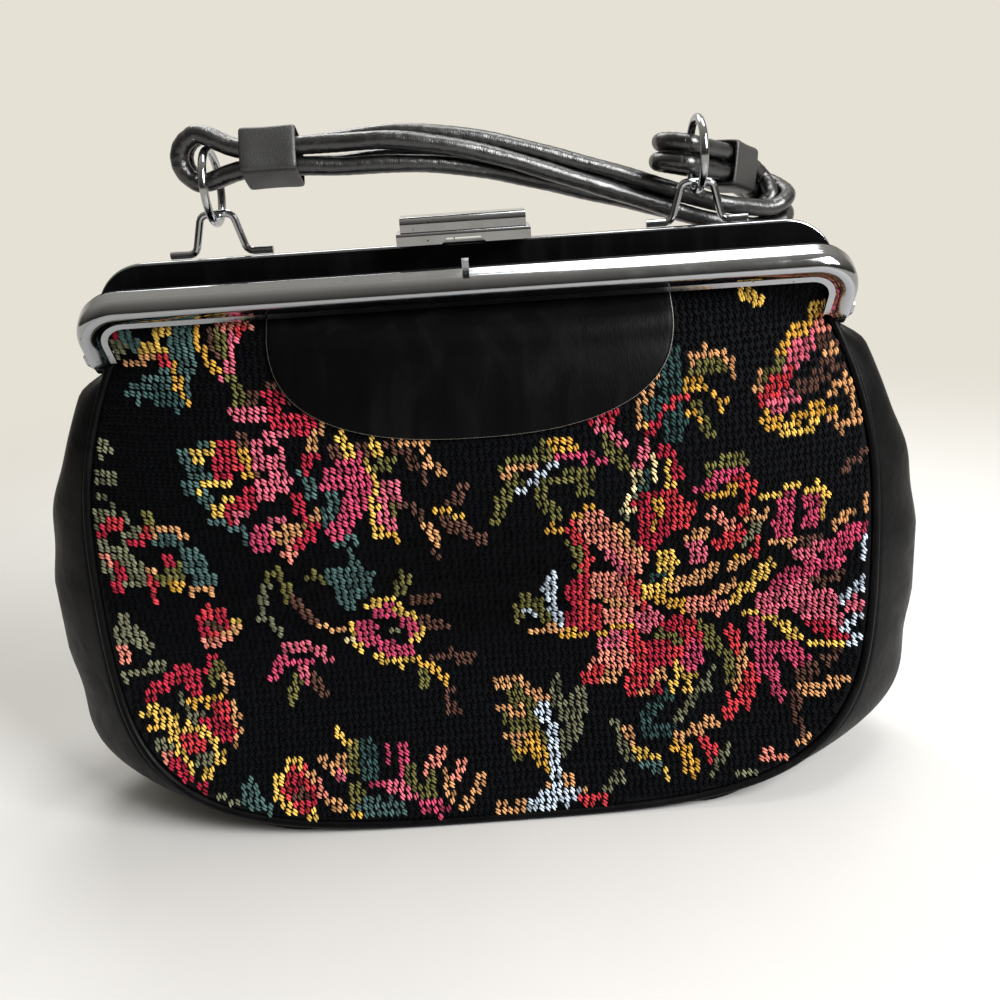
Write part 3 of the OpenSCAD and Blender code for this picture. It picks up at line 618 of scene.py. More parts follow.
PRINT = runs(
    # Spray at the upper left.
    (T.SAGE, 5, -134, 191, -128, 194, -126, 199), (T.CRIMSON, 3, -128, 199.5, -126, 198),
    (T.SLATE, 8, -104, 199, -104, 186, -106, 178), (T.SLATE, 7, -124, 176, -118, 179, -111, 183),
    (T.TEAL, 6, -115, 176, -108, 173), (T.SLATE, 4, -124, 198, -122, 193),
    (T.YELLOW, 4, -119, 193, -112, 191.5), (T.TAN, 3, -127, 187.5, -122, 187.5, -117, 188.5),
    (T.RED, 4, -112, 188.5, -111, 188), (T.YELLOW, 4, -114, 198, -109, 199),
    (T.GOLD, 3, -108, 186, -106.5, 180, -106, 176, -103, 172), (T.BROWN, 4, -93, 197, -90, 189),
    (T.OLIVE, 4, -89, 198, -88, 191), (T.GOLD, 3.2, -98, 199, -97, 193, -94.5, 188, -91, 183, -89.5, 181),
    (T.ROSE, 3.2, -84, 199, -84.5, 192, -86, 187, -89, 182), (T.SALMON, 4, -90, 199.5, -80, 198.5),
    (T.RED, 3, -82, 197, -80, 197),
    # Sprigs down the left edge.
    (T.SAGE, 3, -142, 172, -137, 173), (T.SAGE, 3, -142, 168, -143, 162.5),
    (T.SAGE, 5, -145, 153, -138, 157), (T.SAGE, 4.5, -147, 143, -142, 147, -136, 146),
    (T.SAGE, 3, -146, 139, -138, 137), (T.SAGE, 5, -148, 128, -142, 132, -136, 130),
    (T.RED, 4, -139, 129, -137, 129), (T.CRIMSON, 4, -144, 126, -142, 126),
    (T.SAGE, 3, -134, 134, -133, 133), (T.OLIVE, 4, -125, 132, -123, 132),
    (T.SAGE, 4, -134, 124, -128, 128), (T.CRIMSON, 3.6, -132, 121.5, -128, 123),
    (T.RED, 3.6, -127, 124.5, -123, 125.5), (T.SLATE, 5, -121, 123, -114, 124),
    (T.TAN, 3, -123, 127.5, -114, 128), (T.TAN, 3, -112, 125.5, -110, 125.5),
    (T.SAGE, 7, -146, 120, -143, 112, -135, 107), (T.SAGE, 9, -138, 116, -131, 109),
    (T.SALMON, 3.5, -145, 117, -142, 114), (T.CRIMSON, 3.4, -141, 113, -139.5, 109, -142, 103.5),
    (T.RED, 3.6, -128, 110, -126.5, 107, -127, 101, -128, 98), (T.TAN, 3, -128.5, 112, -127.5, 111),
    (T.CRIMSON, 4, -121.5, 116.5, -119, 114.5, -113, 114), (T.OLIVE, 6, -122, 107, -113, 111),
    (T.GOLD, 3.5, -120, 104, -116, 104.5), (T.SLATE, 9, -110, 116, -108, 110, -106, 105),
    (T.TAN, 2.8, -114, 101.5, -104, 101.5),
    # Big rose, left half.
    (T.SLATE, 6, -106, 156, -103, 151, -98, 158), (T.SLATE, 5, -106, 143, -102, 150, -99, 144),
    (T.SLATE, 5, -100, 139, -98, 133, -94, 130, -88, 127, -86, 121),
    (T.YELLOW, 3.6, -104, 155, -98, 156, -92, 160), (T.YELLOW, 3.4, -102, 143, -97, 146, -90, 147),
    (T.YELLOW, 3.4, -98, 134, -94, 136.5, -91, 139), (T.CRIMSON, 9, -93, 151, -89, 156),
    (T.RED, 4, -88, 158, -87, 150), (T.CRIMSON, 6, -92, 133, -87, 136, -84, 139),
    (T.ROSE, 3, -90, 132, -86, 133), (T.BROWN, 4, -85, 168, -80, 174, -72, 177, -66, 174),
    (T.OLIVE, 4, -86, 181, -83, 173), (T.CRIMSON, 5, -73, 174, -69, 174.5),
    (T.ROSE, 5, -85, 169, -77, 169, -69, 166.5), (T.CRIMSON, 8, -71, 167, -65, 165, -59, 162),
    (T.BROWN, 4, -84, 160, -80, 151, -79, 146), (T.ROSE, 5, -79, 158, -71, 161),
    (T.ROSE, 6, -78, 151, -71, 153), (T.ROSE, 8, -77, 142, -72, 145),
    (T.GOLD, 3.6, -85, 156, -83, 150, -84, 147), (T.MAGENTA, 8, -83, 121, -80, 127),
    (T.ROSE, 4, -78, 129, -75, 130), (T.TAN, 5, -75, 123, -68, 126, -61, 131),
    (T.SALMON, 4.5, -74, 115, -71, 119, -66, 122), (T.CRIMSON, 5, -67, 121, -63, 126),
    (T.CRIMSON, 4, -67, 138, -65, 131), (T.SLATE, 6, -63, 148, -61, 141),
    # Big rose, right half.
    (T.CRIMSON, 5, -62, 150, -59, 155, -58, 165), (T.TAN, 4, -59, 157, -56, 163),
    (T.BROWN, 5, -52, 155, -40, 156), (T.YELLOW, 3.6, -51, 160, -47, 160, -46, 154),
    (T.YELLOW, 3.6, -37, 159, -36, 153), (T.SLATE, 5, -57, 131, -55, 122, -48, 122),
    (T.MAGENTA, 8, -54, 143, -50, 147, -46, 149), (T.MAGENTA, 10, -42, 148, -42, 141, -46, 136),
    (T.MAGENTA, 8, -45, 136, -50, 130, -54, 125), (T.ROSE, 8, -36, 140, -32, 139),
    (T.ROSE, 6, -36, 134, -35, 127), (T.SLATE, 4, -53, 140, -54, 134),
    (T.YELLOW, 2.8, -39, 150, -38, 144, -38, 138, -40, 130, -39, 123), (T.OLIVE, 5, -36, 148, -31, 150),
    (T.OLIVE, 3.5, -33, 131, -31, 133), (T.GOLD, 2.8, -38, 124, -34, 121, -31, 120),
    # Arch and sprig beside the rose.
    (T.BROWN, 4, -31, 156, -26, 153, -24, 149), (T.BROWN, 2.8, -22, 149, -20, 142),
    (T.TAN, 3.4, -29, 158, -23, 156.5, -19, 154, -18, 149, -14, 145.5),
    (T.BROWN, 3, -30, 134, -25, 133, -22, 129), (T.TAN, 3.4, -21, 125, -18, 121, -17.5, 116),
    (T.BROWN, 2.4, -19, 113, -18, 109), (T.BROWN, 3, -13, 132, -9, 133, -6, 140),
    (T.GOLD, 4, -16, 129, -10, 128), (T.YELLOW, 3, -12, 128, -11, 128),
    (T.BROWN, 5, -14, 125, -9, 123, -2, 118),
    # Olive leaf in the middle.
    (T.OLIVE, 5, 4, 126, 8, 134, 13, 140), (T.OLIVE, 6, 9, 144, 17, 147, 26, 151),
    (T.OLIVE, 5, 21, 132, 24, 129, 27, 126), (T.OLIVE, 4, 24, 140, 20, 133),
    (T.OLIVE, 6, 31, 141, 38, 142, 36, 134), (T.TAN, 3, 9, 143, 14, 144.5, 20, 143.5),
    (T.ICE, 3, 14, 137, 19, 140, 24, 143, 28, 147), (T.GOLD, 3, 26, 153.5, 33, 151),
    (T.MAGENTA, 3.4, 29, 148.5, 36, 147.5, 46, 145), (T.ROSE, 4, 44, 157, 48, 155, 51, 151),
    (T.CRIMSON, 3, 41, 161, 49, 160), (T.OLIVE, 5, 46, 151, 52, 143),
    # Teal leaf and curl at the upper right.
    (T.TEAL, 9, 69, 179, 70, 170, 71, 153), (T.TEAL, 5, 62, 168, 63, 157), (T.TAN, 2.8, 65, 178, 64, 171),
    (T.TAN, 2.8, 61.5, 169, 60.5, 164), (T.TAN, 2.6, 58.5, 163, 57.5, 157),
    (T.YELLOW, 2.8, 60, 155, 60.5, 153), (T.CRIMSON, 3.4, 62, 154, 65, 157, 67, 160),
    (T.RED, 3.2, 68, 162, 72, 164, 76, 167), (T.TAN, 3, 78, 177, 84, 179.5, 89, 179),
    (T.OLIVE, 4.5, 79, 173, 86, 175, 91, 175), (T.TAN, 3, 91, 176, 93.5, 171),
    (T.GOLD, 3.4, 76, 169, 81, 168.5, 86, 165, 88, 160), (T.OLIVE, 5, 77, 160, 80, 157, 83, 151),
    (T.GOLD, 2.8, 76, 160, 79, 158), (T.YELLOW, 4, 99, 198, 104, 195),
    # Flower at the top right.
    (T.YELLOW, 4.5, 126, 191, 131, 192, 134, 189), (T.SALMON, 6, 128, 183, 135, 184),
    (T.ROSE, 8, 116, 172, 123, 178), (T.RED, 6, 104, 161, 109, 165, 114, 167),
    (T.ROSE, 6, 108, 158, 116, 160), (T.BROWN, 5, 120, 163, 128, 165),
    (T.GOLD, 4, 112, 177, 119, 182, 124, 183, 129, 187), (T.OLIVE, 3.2, 106, 168, 113, 174),
    (T.TAN, 3, 102, 164, 103, 170), (T.GOLD, 5, 104, 154, 112, 151, 120, 154, 130, 153),
    (T.YELLOW, 3.5, 112, 149, 125, 149), (T.TAN, 4.5, 131, 150, 137, 147, 143, 149, 138, 163),
    (T.TAN, 3, 132, 160, 138, 163), (T.BROWN, 4, 128, 178, 136, 177), (T.TAN, 4, 132, 174, 138, 173),
    (T.BROWN, 3.5, 129, 170, 136, 168),
    # Bud below the teal leaf.
    (T.TEAL, 4, 57, 140, 60, 133), (T.ROSE, 3.2, 57, 142, 61, 149), (T.CREAM, 2.6, 62, 144, 62, 137),
    (T.SAGE, 4, 52, 124, 54, 131, 57, 138), (T.CREAM, 2.4, 56, 138, 52, 128, 55, 124),
    (T.CRIMSON, 4.5, 67, 146, 70, 141, 72, 136), (T.YELLOW, 2.8, 68, 141, 69, 132),
    (T.CRIMSON, 11, 61, 127, 65, 120, 62, 113), (T.RED, 6, 70, 128, 75, 124, 73, 118),
    (T.GOLD, 2.8, 64, 129, 65, 123, 62, 116),
    # Small curl and paired petals at the right.
    (T.GOLD, 3.4, 83, 128, 93, 129), (T.MAGENTA, 5, 80, 130, 86, 134, 92, 137, 96, 134),
    (T.RED, 5, 96, 133, 99, 128, 97, 121), (T.OLIVE, 3.4, 83, 138, 90, 141, 98, 140),
    (T.MAGENTA, 9, 113.5, 121, 113, 109), (T.MAGENTA, 8, 123, 121, 123, 113),
    (T.YELLOW, 2.8, 104, 124, 110, 127, 118, 126.5, 125, 126, 129, 121, 128, 113),
    (T.GROUND, 2.4, 118.5, 125, 118.5, 108), (T.TAN, 3, 108, 106, 116, 104.5),
    (T.TAN, 4, 98, 116, 104, 118), (T.SALMON, 5, 85, 120, 91, 115), (T.RED, 6, 88, 107, 96, 111),
    (T.ROSE, 5, 77, 107, 81, 105, 80, 101), (T.TAN, 4, 76, 110, 82, 113), (T.RED, 4, 103, 108, 102, 100),
    (T.GOLD, 4, 95, 101, 96, 97), (T.SAGE, 4, 98, 106, 102, 113), (T.BROWN, 3.5, 136, 131, 147, 138),
    (T.TAN, 3, 133, 109, 140, 115), (T.TAN, 3, 147, 120, 146, 114),
    # Large flower, upper petals.
    (T.GOLD, 3.6, 23, 120, 32, 119), (T.GOLD, 3.4, 33, 124, 40, 127), (T.OLIVE, 4, 33, 114, 36, 98),
    (T.RED, 6, 32, 120, 37, 113), (T.SALMON, 11, 40, 121, 46, 114, 55, 102),
    (T.RED, 4.5, 38, 110, 38, 96), (T.ROSE, 4, 46, 106, 52, 98), (T.TAN, 2.8, 47, 121, 58, 107),
    (T.SALMON, 12, 43, 93, 55, 87), (T.RED, 3.4, 55, 94, 61, 79), (T.TAN, 2.8, 42, 86, 54, 80),
    (T.SALMON, 9, 42, 76, 54, 75), (T.RED, 4, 42, 81, 41, 72), (T.ROSE, 9, 46, 63, 54, 67, 63, 74),
    (T.SALMON, 9, 42, 54, 50, 56, 56, 60), (T.RED, 4, 56, 68, 57, 58), (T.TAN, 4, 40, 48, 48, 50),
    (T.GOLD, 2.6, 43, 68, 54, 71),
    # Large flower, lower petals.
    (T.RED, 8, 54, 45, 58, 50, 62, 58), (T.CRIMSON, 8, 63, 45, 67, 56), (T.TAN, 2.8, 59, 42, 69, 52),
    (T.CRIMSON, 9, 66, 60, 74, 69), (T.RED, 9, 73, 56, 80, 68), (T.MAGENTA, 7, 77, 50, 81, 58),
    (T.YELLOW, 4, 70, 43, 74, 49, 73, 53), (T.YELLOW, 4, 77, 43, 79, 48), (T.OLIVE, 4, 68, 65, 75, 62),
    # Large flower, heart.
    (T.YELLOW, 7, 62, 88, 67, 86, 70, 91, 68, 104), (T.GOLD, 5, 66, 82, 72, 80, 77, 77),
    (T.TAN, 6, 74, 90, 80, 92, 87, 95), (T.SALMON, 8, 80, 78, 86, 80, 91, 77),
    (T.TAN, 4.5, 89, 84, 95, 87), (T.YELLOW, 6, 97, 81, 103, 88, 107, 94), (T.TAN, 4, 93, 97, 99, 99),
    (T.TEAL, 3.4, 63, 93, 66, 95),
    # Large flower, right petals.
    (T.ROSE, 10, 109, 77, 115, 79, 123, 82), (T.MAGENTA, 7, 112, 86, 118, 90, 126, 92, 134, 95),
    (T.ROSE, 6, 120, 98, 127, 101), (T.MAGENTA, 8, 134, 100, 142, 106), (T.ROSE, 6, 124, 80, 140, 76),
    (T.ROSE, 8, 122, 75, 130, 72, 137, 67), (T.CRIMSON, 5, 127, 67, 137, 61),
    (T.YELLOW, 4, 102, 72, 110, 70, 116, 66, 122, 61, 130, 59, 137, 59), (T.ROSE, 5, 141, 73, 148, 77),
    (T.ICE, 3.4, 138, 78, 143, 82, 147, 85), (T.ICE, 3.4, 140, 65, 146, 71, 148, 75),
    (T.ICE, 3, 142, 58, 148, 62), (T.ICE, 3, 146, 102, 147, 96), (T.BROWN, 3.2, 120, 104, 128, 105),
    (T.BROWN, 3, 127, 86, 137, 88),
    # Trailing petals under the large flower.
    (T.OLIVE, 6, 85, 68, 88, 62), (T.OLIVE, 4, 88, 61, 93, 55, 95, 43),
    (T.RED, 5, 95, 66, 98, 58, 99, 51), (T.TAN, 3, 101, 58, 99, 48, 95, 42),
    (T.RED, 6, 92, 35, 98, 38, 102, 44, 104, 50), (T.MAGENTA, 7, 105, 67, 107, 58, 108, 50),
    (T.MAGENTA, 7, 111, 58, 118, 56, 123, 52), (T.MAGENTA, 5, 110, 53, 112, 46, 113, 40),
    (T.SAGE, 2.8, 87, 51, 84, 44, 78, 38, 72, 33), (T.TEAL, 3, 69, 41, 64, 38, 59, 34, 58, 28),
    (T.TEAL, 4, 62, 27, 69, 29),
    # Crimson petals and pale edge left of the large flower.
    (T.CRIMSON, 11, 34, 90, 34, 74), (T.GROUND, 2.4, 29, 82, 41, 84), (T.RED, 4, 37, 92, 36, 74),
    (T.GOLD, 4, 29, 68, 37, 68), (T.ICE, 4.5, 25, 99, 23, 90, 25, 82, 26, 73),
    (T.OLIVE, 4.5, 11, 78, 13, 88, 18, 86, 21, 76), (T.ICE, 2.8, 14, 82, 18, 79),
    (T.TAN, 4, 17, 70, 26, 71),
    # Stems in the middle.
    (T.SLATE, 8, -58, 106, -47, 104), (T.SLATE, 4, -50, 115, -48, 110), (T.SLATE, 6, -57, 97, -47, 98),
    (T.SLATE, 5, -57, 92, -54, 91), (T.OLIVE, 4.5, -31, 103, -34, 96), (T.OLIVE, 3, -81, 109, -84, 104),
    (T.OLIVE, 3, -78, 110, -77, 97), (T.SAGE, 3.2, -85, 103, -88, 93, -88, 88, -83, 79),
    (T.OLIVE, 4, -66, 107, -63, 104), (T.BROWN, 3.4, -75, 96, -72, 88, -67, 82),
    (T.TAN, 2.8, -67, 82, -58, 78),
    # Red flower and arch at the left.
    (T.SAGE, 5, -142, 91, -139, 84, -136, 77), (T.SAGE, 6, -147, 80, -143, 85),
    (T.SALMON, 4.5, -145, 79, -144, 73), (T.SAGE, 3.2, -145, 67, -137, 69, -131, 68.5),
    (T.RED, 7, -108, 91, -105, 90), (T.CRIMSON, 6, -112, 87, -111, 82),
    (T.CRIMSON, 5, -104, 88, -102, 84), (T.RED, 5, -110, 80, -105, 80), (T.BROWN, 4, -108, 85, -107, 85),
    (T.YELLOW, 4, -100, 87, -99, 86), (T.TAN, 3, -104, 82, -99, 83),
    (T.SALMON, 2.8, -113, 79, -110, 76.5, -105, 78),
    (T.CRIMSON, 6, -137, 57, -131, 62, -125, 65, -118, 64, -120, 57), (T.CRIMSON, 5, -113, 65, -112, 69),
    (T.TAN, 5, -108, 66, -107, 59), (T.OLIVE, 4, -112, 60, -110, 66),
    # Gold leaf and two flowers at the lower left.
    (T.YELLOW, 6, -138, 51, -134, 50, -129, 47), (T.GOLD, 3.4, -139, 45, -135, 45),
    (T.SAGE, 5, -126, 54, -122, 52), (T.SAGE, 5, -121, 48, -117, 45), (T.GOLD, 4, -120, 52, -112, 53),
    (T.RED, 6, -113, 50, -109, 48, -106, 45), (T.CRIMSON, 7, -115, 43, -109, 40),
    (T.TAN, 2.8, -105, 49, -105, 44), (T.TAN, 3, -104, 40, -106, 35), (T.RED, 6, -124, 38, -119, 36),
    (T.CRIMSON, 5, -130, 35, -128, 29, -124, 24, -120, 21), (T.SAGE, 5, -119, 31, -114, 30),
    (T.YELLOW, 3.2, -130, 41, -125, 43, -119, 42, -114, 38, -112, 33, -113, 28, -118, 25),
    (T.YELLOW, 3, -128, 38, -126, 32, -122, 27), (T.SALMON, 3.4, -134, 35, -132, 34),
    (T.SAGE, 3.2, -136, 39, -132, 38), (T.SAGE, 3.6, -112, 17, -108, 15, -105, 12),
    (T.SLATE, 7, -101, 19, -98, 15, -95, 11),
    # Round flower at the bottom, and its leaf.
    (T.RED, 8, -86, 17, -75, 16), (T.RED, 8, -80, 22, -79, 10), (T.CRIMSON, 4, -84, 21, -76, 12),
    (T.YELLOW, 3.2, -85, 26, -80, 26.5), (T.YELLOW, 3.4, -89, 22, -90, 16, -87, 12, -82, 7),
    (T.YELLOW, 3.2, -78, 6, -74, 9), (T.TAN, 3, -77, 23, -75, 21), (T.SALMON, 4, -73, 19, -71, 14),
    (T.BROWN, 3.6, -81.5, 16, -79.5, 16), (T.YELLOW, 3.6, -65, 36, -61, 31), (T.TAN, 3, -72, 28, -68, 26),
    (T.TAN, 7, -67, 25, -60, 27), (T.ROSE, 3, -66, 22, -64, 21), (T.OLIVE, 5, -59, 23, -58, 30),
    (T.TAN, 5, -68, 12, -61, 10), (T.OLIVE, 5, -59, 17, -58, 10), (T.GOLD, 4, -59, 7, -55, 7),
    # Two pink flowers.
    (T.MAGENTA, 5, -88, 60, -85, 65, -82, 70), (T.ROSE, 4.5, -81, 71, -74, 71.5, -68, 69),
    (T.ROSE, 4.5, -70, 68, -66, 64), (T.MAGENTA, 4.5, -79, 63, -74, 65), (T.ROSE, 5, -77, 60, -75, 56),
    (T.OLIVE, 4.5, -80, 57, -82, 50), (T.BROWN, 3.6, -72, 57, -69, 50), (T.MAGENTA, 8, -43, 87, -39, 86),
    (T.MAGENTA, 8, -33, 82, -31, 75), (T.MAGENTA, 12, -51, 76, -47, 74), (T.MAGENTA, 8, -43, 67, -36, 65),
    (T.YELLOW, 2.8, -48, 88, -45, 91, -37, 91.5, -36, 85), (T.YELLOW, 2.8, -55, 80, -56, 74, -53, 69),
    (T.YELLOW, 2.8, -34, 86, -29, 81, -27, 74, -31, 70),
    (T.YELLOW, 2.8, -47, 65, -44, 61, -38, 60, -33, 62), (T.CREAM, 3.6, -58, 73, -57, 73),
    (T.GROUND, 7, -41, 77, -38, 75), (T.SAGE, 2.6, -40, 76, -39, 75), (T.BROWN, 4, -27, 79, -20, 77),
    (T.BROWN, 4, -30, 90, -20, 92),
    # Small stems below the middle.
    (T.GOLD, 3.2, -31, 61, -25, 58, -21, 53, -20, 49), (T.OLIVE, 4, -30, 56, -28, 50),
    (T.BROWN, 4, -23, 61, -17, 61, -9, 60), (T.BROWN, 4, -20, 47, -18, 40),
    # Tuft at the bottom.
    (T.TEAL, 7, -53, 30, -52, 22), (T.SLATE, 7, -54, 10, -43, 9), (T.MAGENTA, 2.8, -46, 32, -45, 24),
    (T.OLIVE, 4, -38, 27, -37, 20, -34, 12), (T.MAGENTA, 2.8, -38.5, 30, -40, 22),
    (T.MAGENTA, 3.6, -52, 18, -48, 18), (T.ROSE, 3.6, -45, 16, -40, 15, -35, 12),
    (T.OLIVE, 4.5, -30, 22, -29, 13), (T.SALMON, 3, -31, 20, -24, 26), (T.MAGENTA, 5, -31, 9, -24, 7),
    (T.TAN, 3.4, -23, 20, -21, 11), (T.SALMON, 3, -18, 17, -15, 22),
    (T.TAN, 3.4, -16, 7, -11, 13, -7, 18),
    # Leaf at the bottom middle.
    (T.OLIVE, 9, 9, 44, 12, 36, 14, 27), (T.OLIVE, 5, 4, 35, 9, 33), (T.OLIVE, 4, 4, 25, 8, 23),
    (T.GOLD, 7, 10, 27, 14, 26, 18, 20), (T.SAGE, 6, 24, 47, 25, 40, 28, 34),
    (T.SAGE, 7, 34, 42, 30, 34, 27, 26), (T.TAN, 4, 2, 49, 9, 50), (T.TAN, 3.6, 11, 47, 19, 42),
    (T.TAN, 3.4, 2, 39, 9, 38), (T.TAN, 4, 4, 30, 8, 29), (T.TAN, 3.4, 18, 13, 24, 15, 31, 10),
    (T.ICE, 5.2, 18, 38, 21, 33, 22, 25, 21, 14), (T.ICE, 5.8, 11, 6, 20, 8, 29, 9),
    (T.TAN, 3, -3, 6, 8, 6), (T.RED, 3.6, 31, 6, 40, 6), (T.RED, 5, 36, 48, 41, 52),
    # Bottom right.
    (T.SAGE, 3.4, 46, 33, 48, 28, 51, 21), (T.TAN, 3.4, 51, 30, 53, 23), (T.YELLOW, 3.6, 54, 22, 61, 20),
    (T.YELLOW, 3.4, 63, 18, 65, 13), (T.SLATE, 4, 57, 18, 62, 16), (T.SAGE, 4, 41, 10, 48, 15),
    (T.GOLD, 6, 71, 25, 74, 21, 76, 15), (T.TAN, 4, 72, 27, 78, 28, 85, 31),
    (T.RED, 5, 82, 24, 84, 20, 88, 18), (T.SAGE, 3.2, 84, 15, 90, 22), (T.SAGE, 3, 95, 13, 104, 13),
    (T.SALMON, 4, 103, 18, 117, 18), (T.TAN, 4.5, 122, 40, 130, 42, 140, 45),
    (T.BROWN, 4.5, 121, 45, 128, 50), (T.BROWN, 3, 119, 39, 119, 32, 121, 24),
    (T.TAN, 4, 120, 22, 123, 22), (T.BROWN, 3.2, 132, 52, 137, 57),
)


@dataclass
class Needlework:
    """One needlework face of the bag, drawn over a slack cloth.

    Attributes:
        name: Front or rear.
        facing: -1 where the face looks to the front, 1 where it looks back.
        middle: Depth of its middle by height, in mm.
        seam: Depth of its seams by height, in mm.
        top_half: Half its width at the hinges.
        top: Where it ends in the frame.
        slack: Height of the slack's waves, and slack_waves their lengths across and up.
        trim: Gap between the cloth's edge and the first stitches, up and across.
        stray: How far a stitch strays from its row, and ragged the print from its drawing.
        tone: Spread and limits of the stitches' tone, and dark the share and tone of the dark ones.
    """

    name: str
    facing: int
    middle: tuple
    seam: tuple
    top_half: float
    top: float
    seam_half: float = 150.5
    widest: float = 100.0
    hinge: float = 187.0
    floor: float = 2.0
    inset: float = 2.05
    round_power: float = 3.5
    draw_power: float = 2.6
    cloth_half: float = 0.6
    pitch: float = 2.51
    row: float = 2.86
    loop: tuple[float, float, float] = (1.02, 1.72, 1.2)
    slant: float = 36.0
    slack: float = 0.5
    slack_waves: tuple[float, float] = (19.0, 37.0)
    slack_end: tuple[float, float] = (190.0, 30.0)
    trim: tuple[float, float] = (0.6, 0.9)
    stagger: float = 0.1
    stray: float = 0.13
    ragged: float = 0.45
    overlap: float = 0.25
    low_ground: float = 0.72
    tone: tuple[float, float, float] = (0.2, 0.55, 1.45)
    dark: tuple[float, float] = (0.05, 0.45)
    uneven: float = 0.09
    seed: int = 11

    def half_width(self, height: np.ndarray, inset: float) -> np.ndarray:
        """Gives half the width at a height.

        Args:
            height: Heights in mm.
            inset: How far inside the seam.

        Returns:
            Half widths in mm.
        """
        height = np.asarray(height, dtype=float)
        low = np.clip((self.widest - height) / (self.widest - self.floor - inset), 0, 1)
        high = np.clip((height - self.widest) / (self.hinge - self.widest), 0, 1)
        rounded = (self.seam_half - inset) * (1 - low ** self.round_power) ** (1 / self.round_power)
        return np.where(height < self.widest, rounded,
                        self.seam_half - inset - (self.seam_half - self.top_half) * high ** self.draw_power)

    def depth(self, x: np.ndarray, height: np.ndarray) -> np.ndarray:
        """Gives the depth of the middle of the cloth.

        Args:
            x: Places across, in mm.
            height: Heights in mm.

        Returns:
            Depths in mm.
        """
        share = np.clip(np.abs(x) / np.maximum(self.half_width(height, self.inset), 20.0), 0, 1)
        crown = 1 - share ** 3
        wave = np.sin(x / self.slack_waves[0] + height / self.slack_waves[1])
        end, fade = self.slack_end
        slack = self.slack * wave * (1 - share ** 4) * np.clip((end - height) / fade, 0, 1)
        return (smooth_through(self.seam, height) * (1 - crown)
                + smooth_through(self.middle, height) * crown + slack)

    def heights(self, rows: int) -> np.ndarray:
        """Gives heights from the floor to the top, closer together in the rounded corners.

        Args:
            rows: How many, about.

        Returns:
            Rising heights in mm.
        """
        low = np.radians(np.linspace(88, 0, rows // 2))
        fall = self.widest - self.floor - self.inset
        under = self.widest - fall * np.sin(low) ** (2 / self.round_power)
        return np.concatenate((under, np.linspace(self.widest, self.top, rows // 2)[1:]))

    def sheet(self, offset: float, rows: int = 96, columns: int = 81,
              inset: float | None = None) -> np.ndarray:
        """Lays out the cloth as a grid.

        Args:
            offset: How far outside the middle of the cloth.
            rows: Rows of points.
            columns: Points in a row.
            inset: How far inside the seam, where it isn't the panel's own.

        Returns:
            Rows by columns by 3 points in mm.
        """
        height = self.heights(rows)[:, None]
        share = np.sin(np.linspace(-1, 1, columns) * math.pi / 2)[None, :]
        x = share * self.half_width(height, self.inset if inset is None else inset)
        height = height + 0 * x
        return np.stack((x, self.depth(x, height) + self.facing * offset, height), axis=2)

    def stitch_places(self) -> tuple[np.ndarray, np.ndarray, np.ndarray]:
        """Sets out the loops of wool in rows over the cloth.

        Returns:
            Points and outward directions, and the places on the print, as arrays.
        """
        rng = np.random.default_rng(self.seed)
        up_trim, side_trim = self.trim
        fine = np.linspace(self.floor + self.inset + up_trim, self.top - up_trim, 900)
        run = np.hypot(np.gradient(fine), np.gradient(smooth_through(self.middle, fine)))
        run = np.cumsum(run) - run[0]
        rows = np.interp(np.arange(0, run[-1], self.row), run, fine)
        across, up = [], []
        for number, height in enumerate(rows):
            half = float(self.half_width(height, self.inset)) - side_trim
            count = int(half // self.pitch)
            shift = self.stagger if number % 2 else -self.stagger
            x = (np.arange(-count, count + 1) + shift) * self.pitch
            across.append(x)
            up.append(np.full(len(x), height))
        x = np.concatenate(across)
        z = np.concatenate(up)
        x = x + rng.normal(0, self.stray, len(x))
        z = z + rng.normal(0, self.stray, len(z))
        step = 0.8
        none = np.zeros_like(x)
        sideways = self.depth(x + step, z) - self.depth(x - step, z)
        upward = self.depth(x, z + step) - self.depth(x, z - step)
        right = np.stack((none + 2 * step, sideways, none), axis=1)
        rise = np.stack((none, upward, none + 2 * step), axis=1)
        outward = np.cross(right, rise) * (-self.facing)
        outward /= np.linalg.norm(outward, axis=1, keepdims=True)
        place = np.stack((x, self.depth(x, z), z), axis=1) + outward * (self.cloth_half - 0.1)
        return place, outward, np.stack((-self.facing * x, z), axis=1)

    def threads(self, places: np.ndarray) -> tuple[np.ndarray, np.ndarray, np.ndarray]:
        """Chooses the wool of each loop from the runs of the print.

        Args:
            places: Places on the print in mm.

        Returns:
            Linear colours, how proud each loop stands, and which loops belong to the print.
        """
        rng = np.random.default_rng(self.seed + 1)
        spot = places + rng.normal(0, self.ragged, places.shape)
        colour = np.tile(np.array(linear(Thread.GROUND.value)), (len(places), 1))
        proud = np.full(len(places), self.low_ground)
        printed = np.zeros(len(places), dtype=bool)
        for stroke in PRINT:
            points = np.array(stroke.points, dtype=float)
            near = np.full(len(places), np.inf)
            for start, end in zip(points[:-1], points[1:]):
                run = end - start
                share = np.clip(((spot - start) @ run) / (run @ run), 0, 1)
                gap = spot - start - share[:, None] * run
                near = np.minimum(near, np.hypot(gap[:, 0], gap[:, 1]))
            inside = near < stroke.width / 2 + self.overlap
            colour[inside] = linear(stroke.thread.value)
            printed[inside] = stroke.thread is not Thread.GROUND
        spread, least, most = self.tone
        tone = np.clip(rng.normal(1.0, spread, len(places)), least, most)
        tone[rng.random(len(places)) < self.dark[0]] = self.dark[1]
        colour[:, :3] *= tone[:, None]
        proud[printed] = 1.0
        return colour, proud * rng.normal(1.0, self.uneven, len(places)), printed

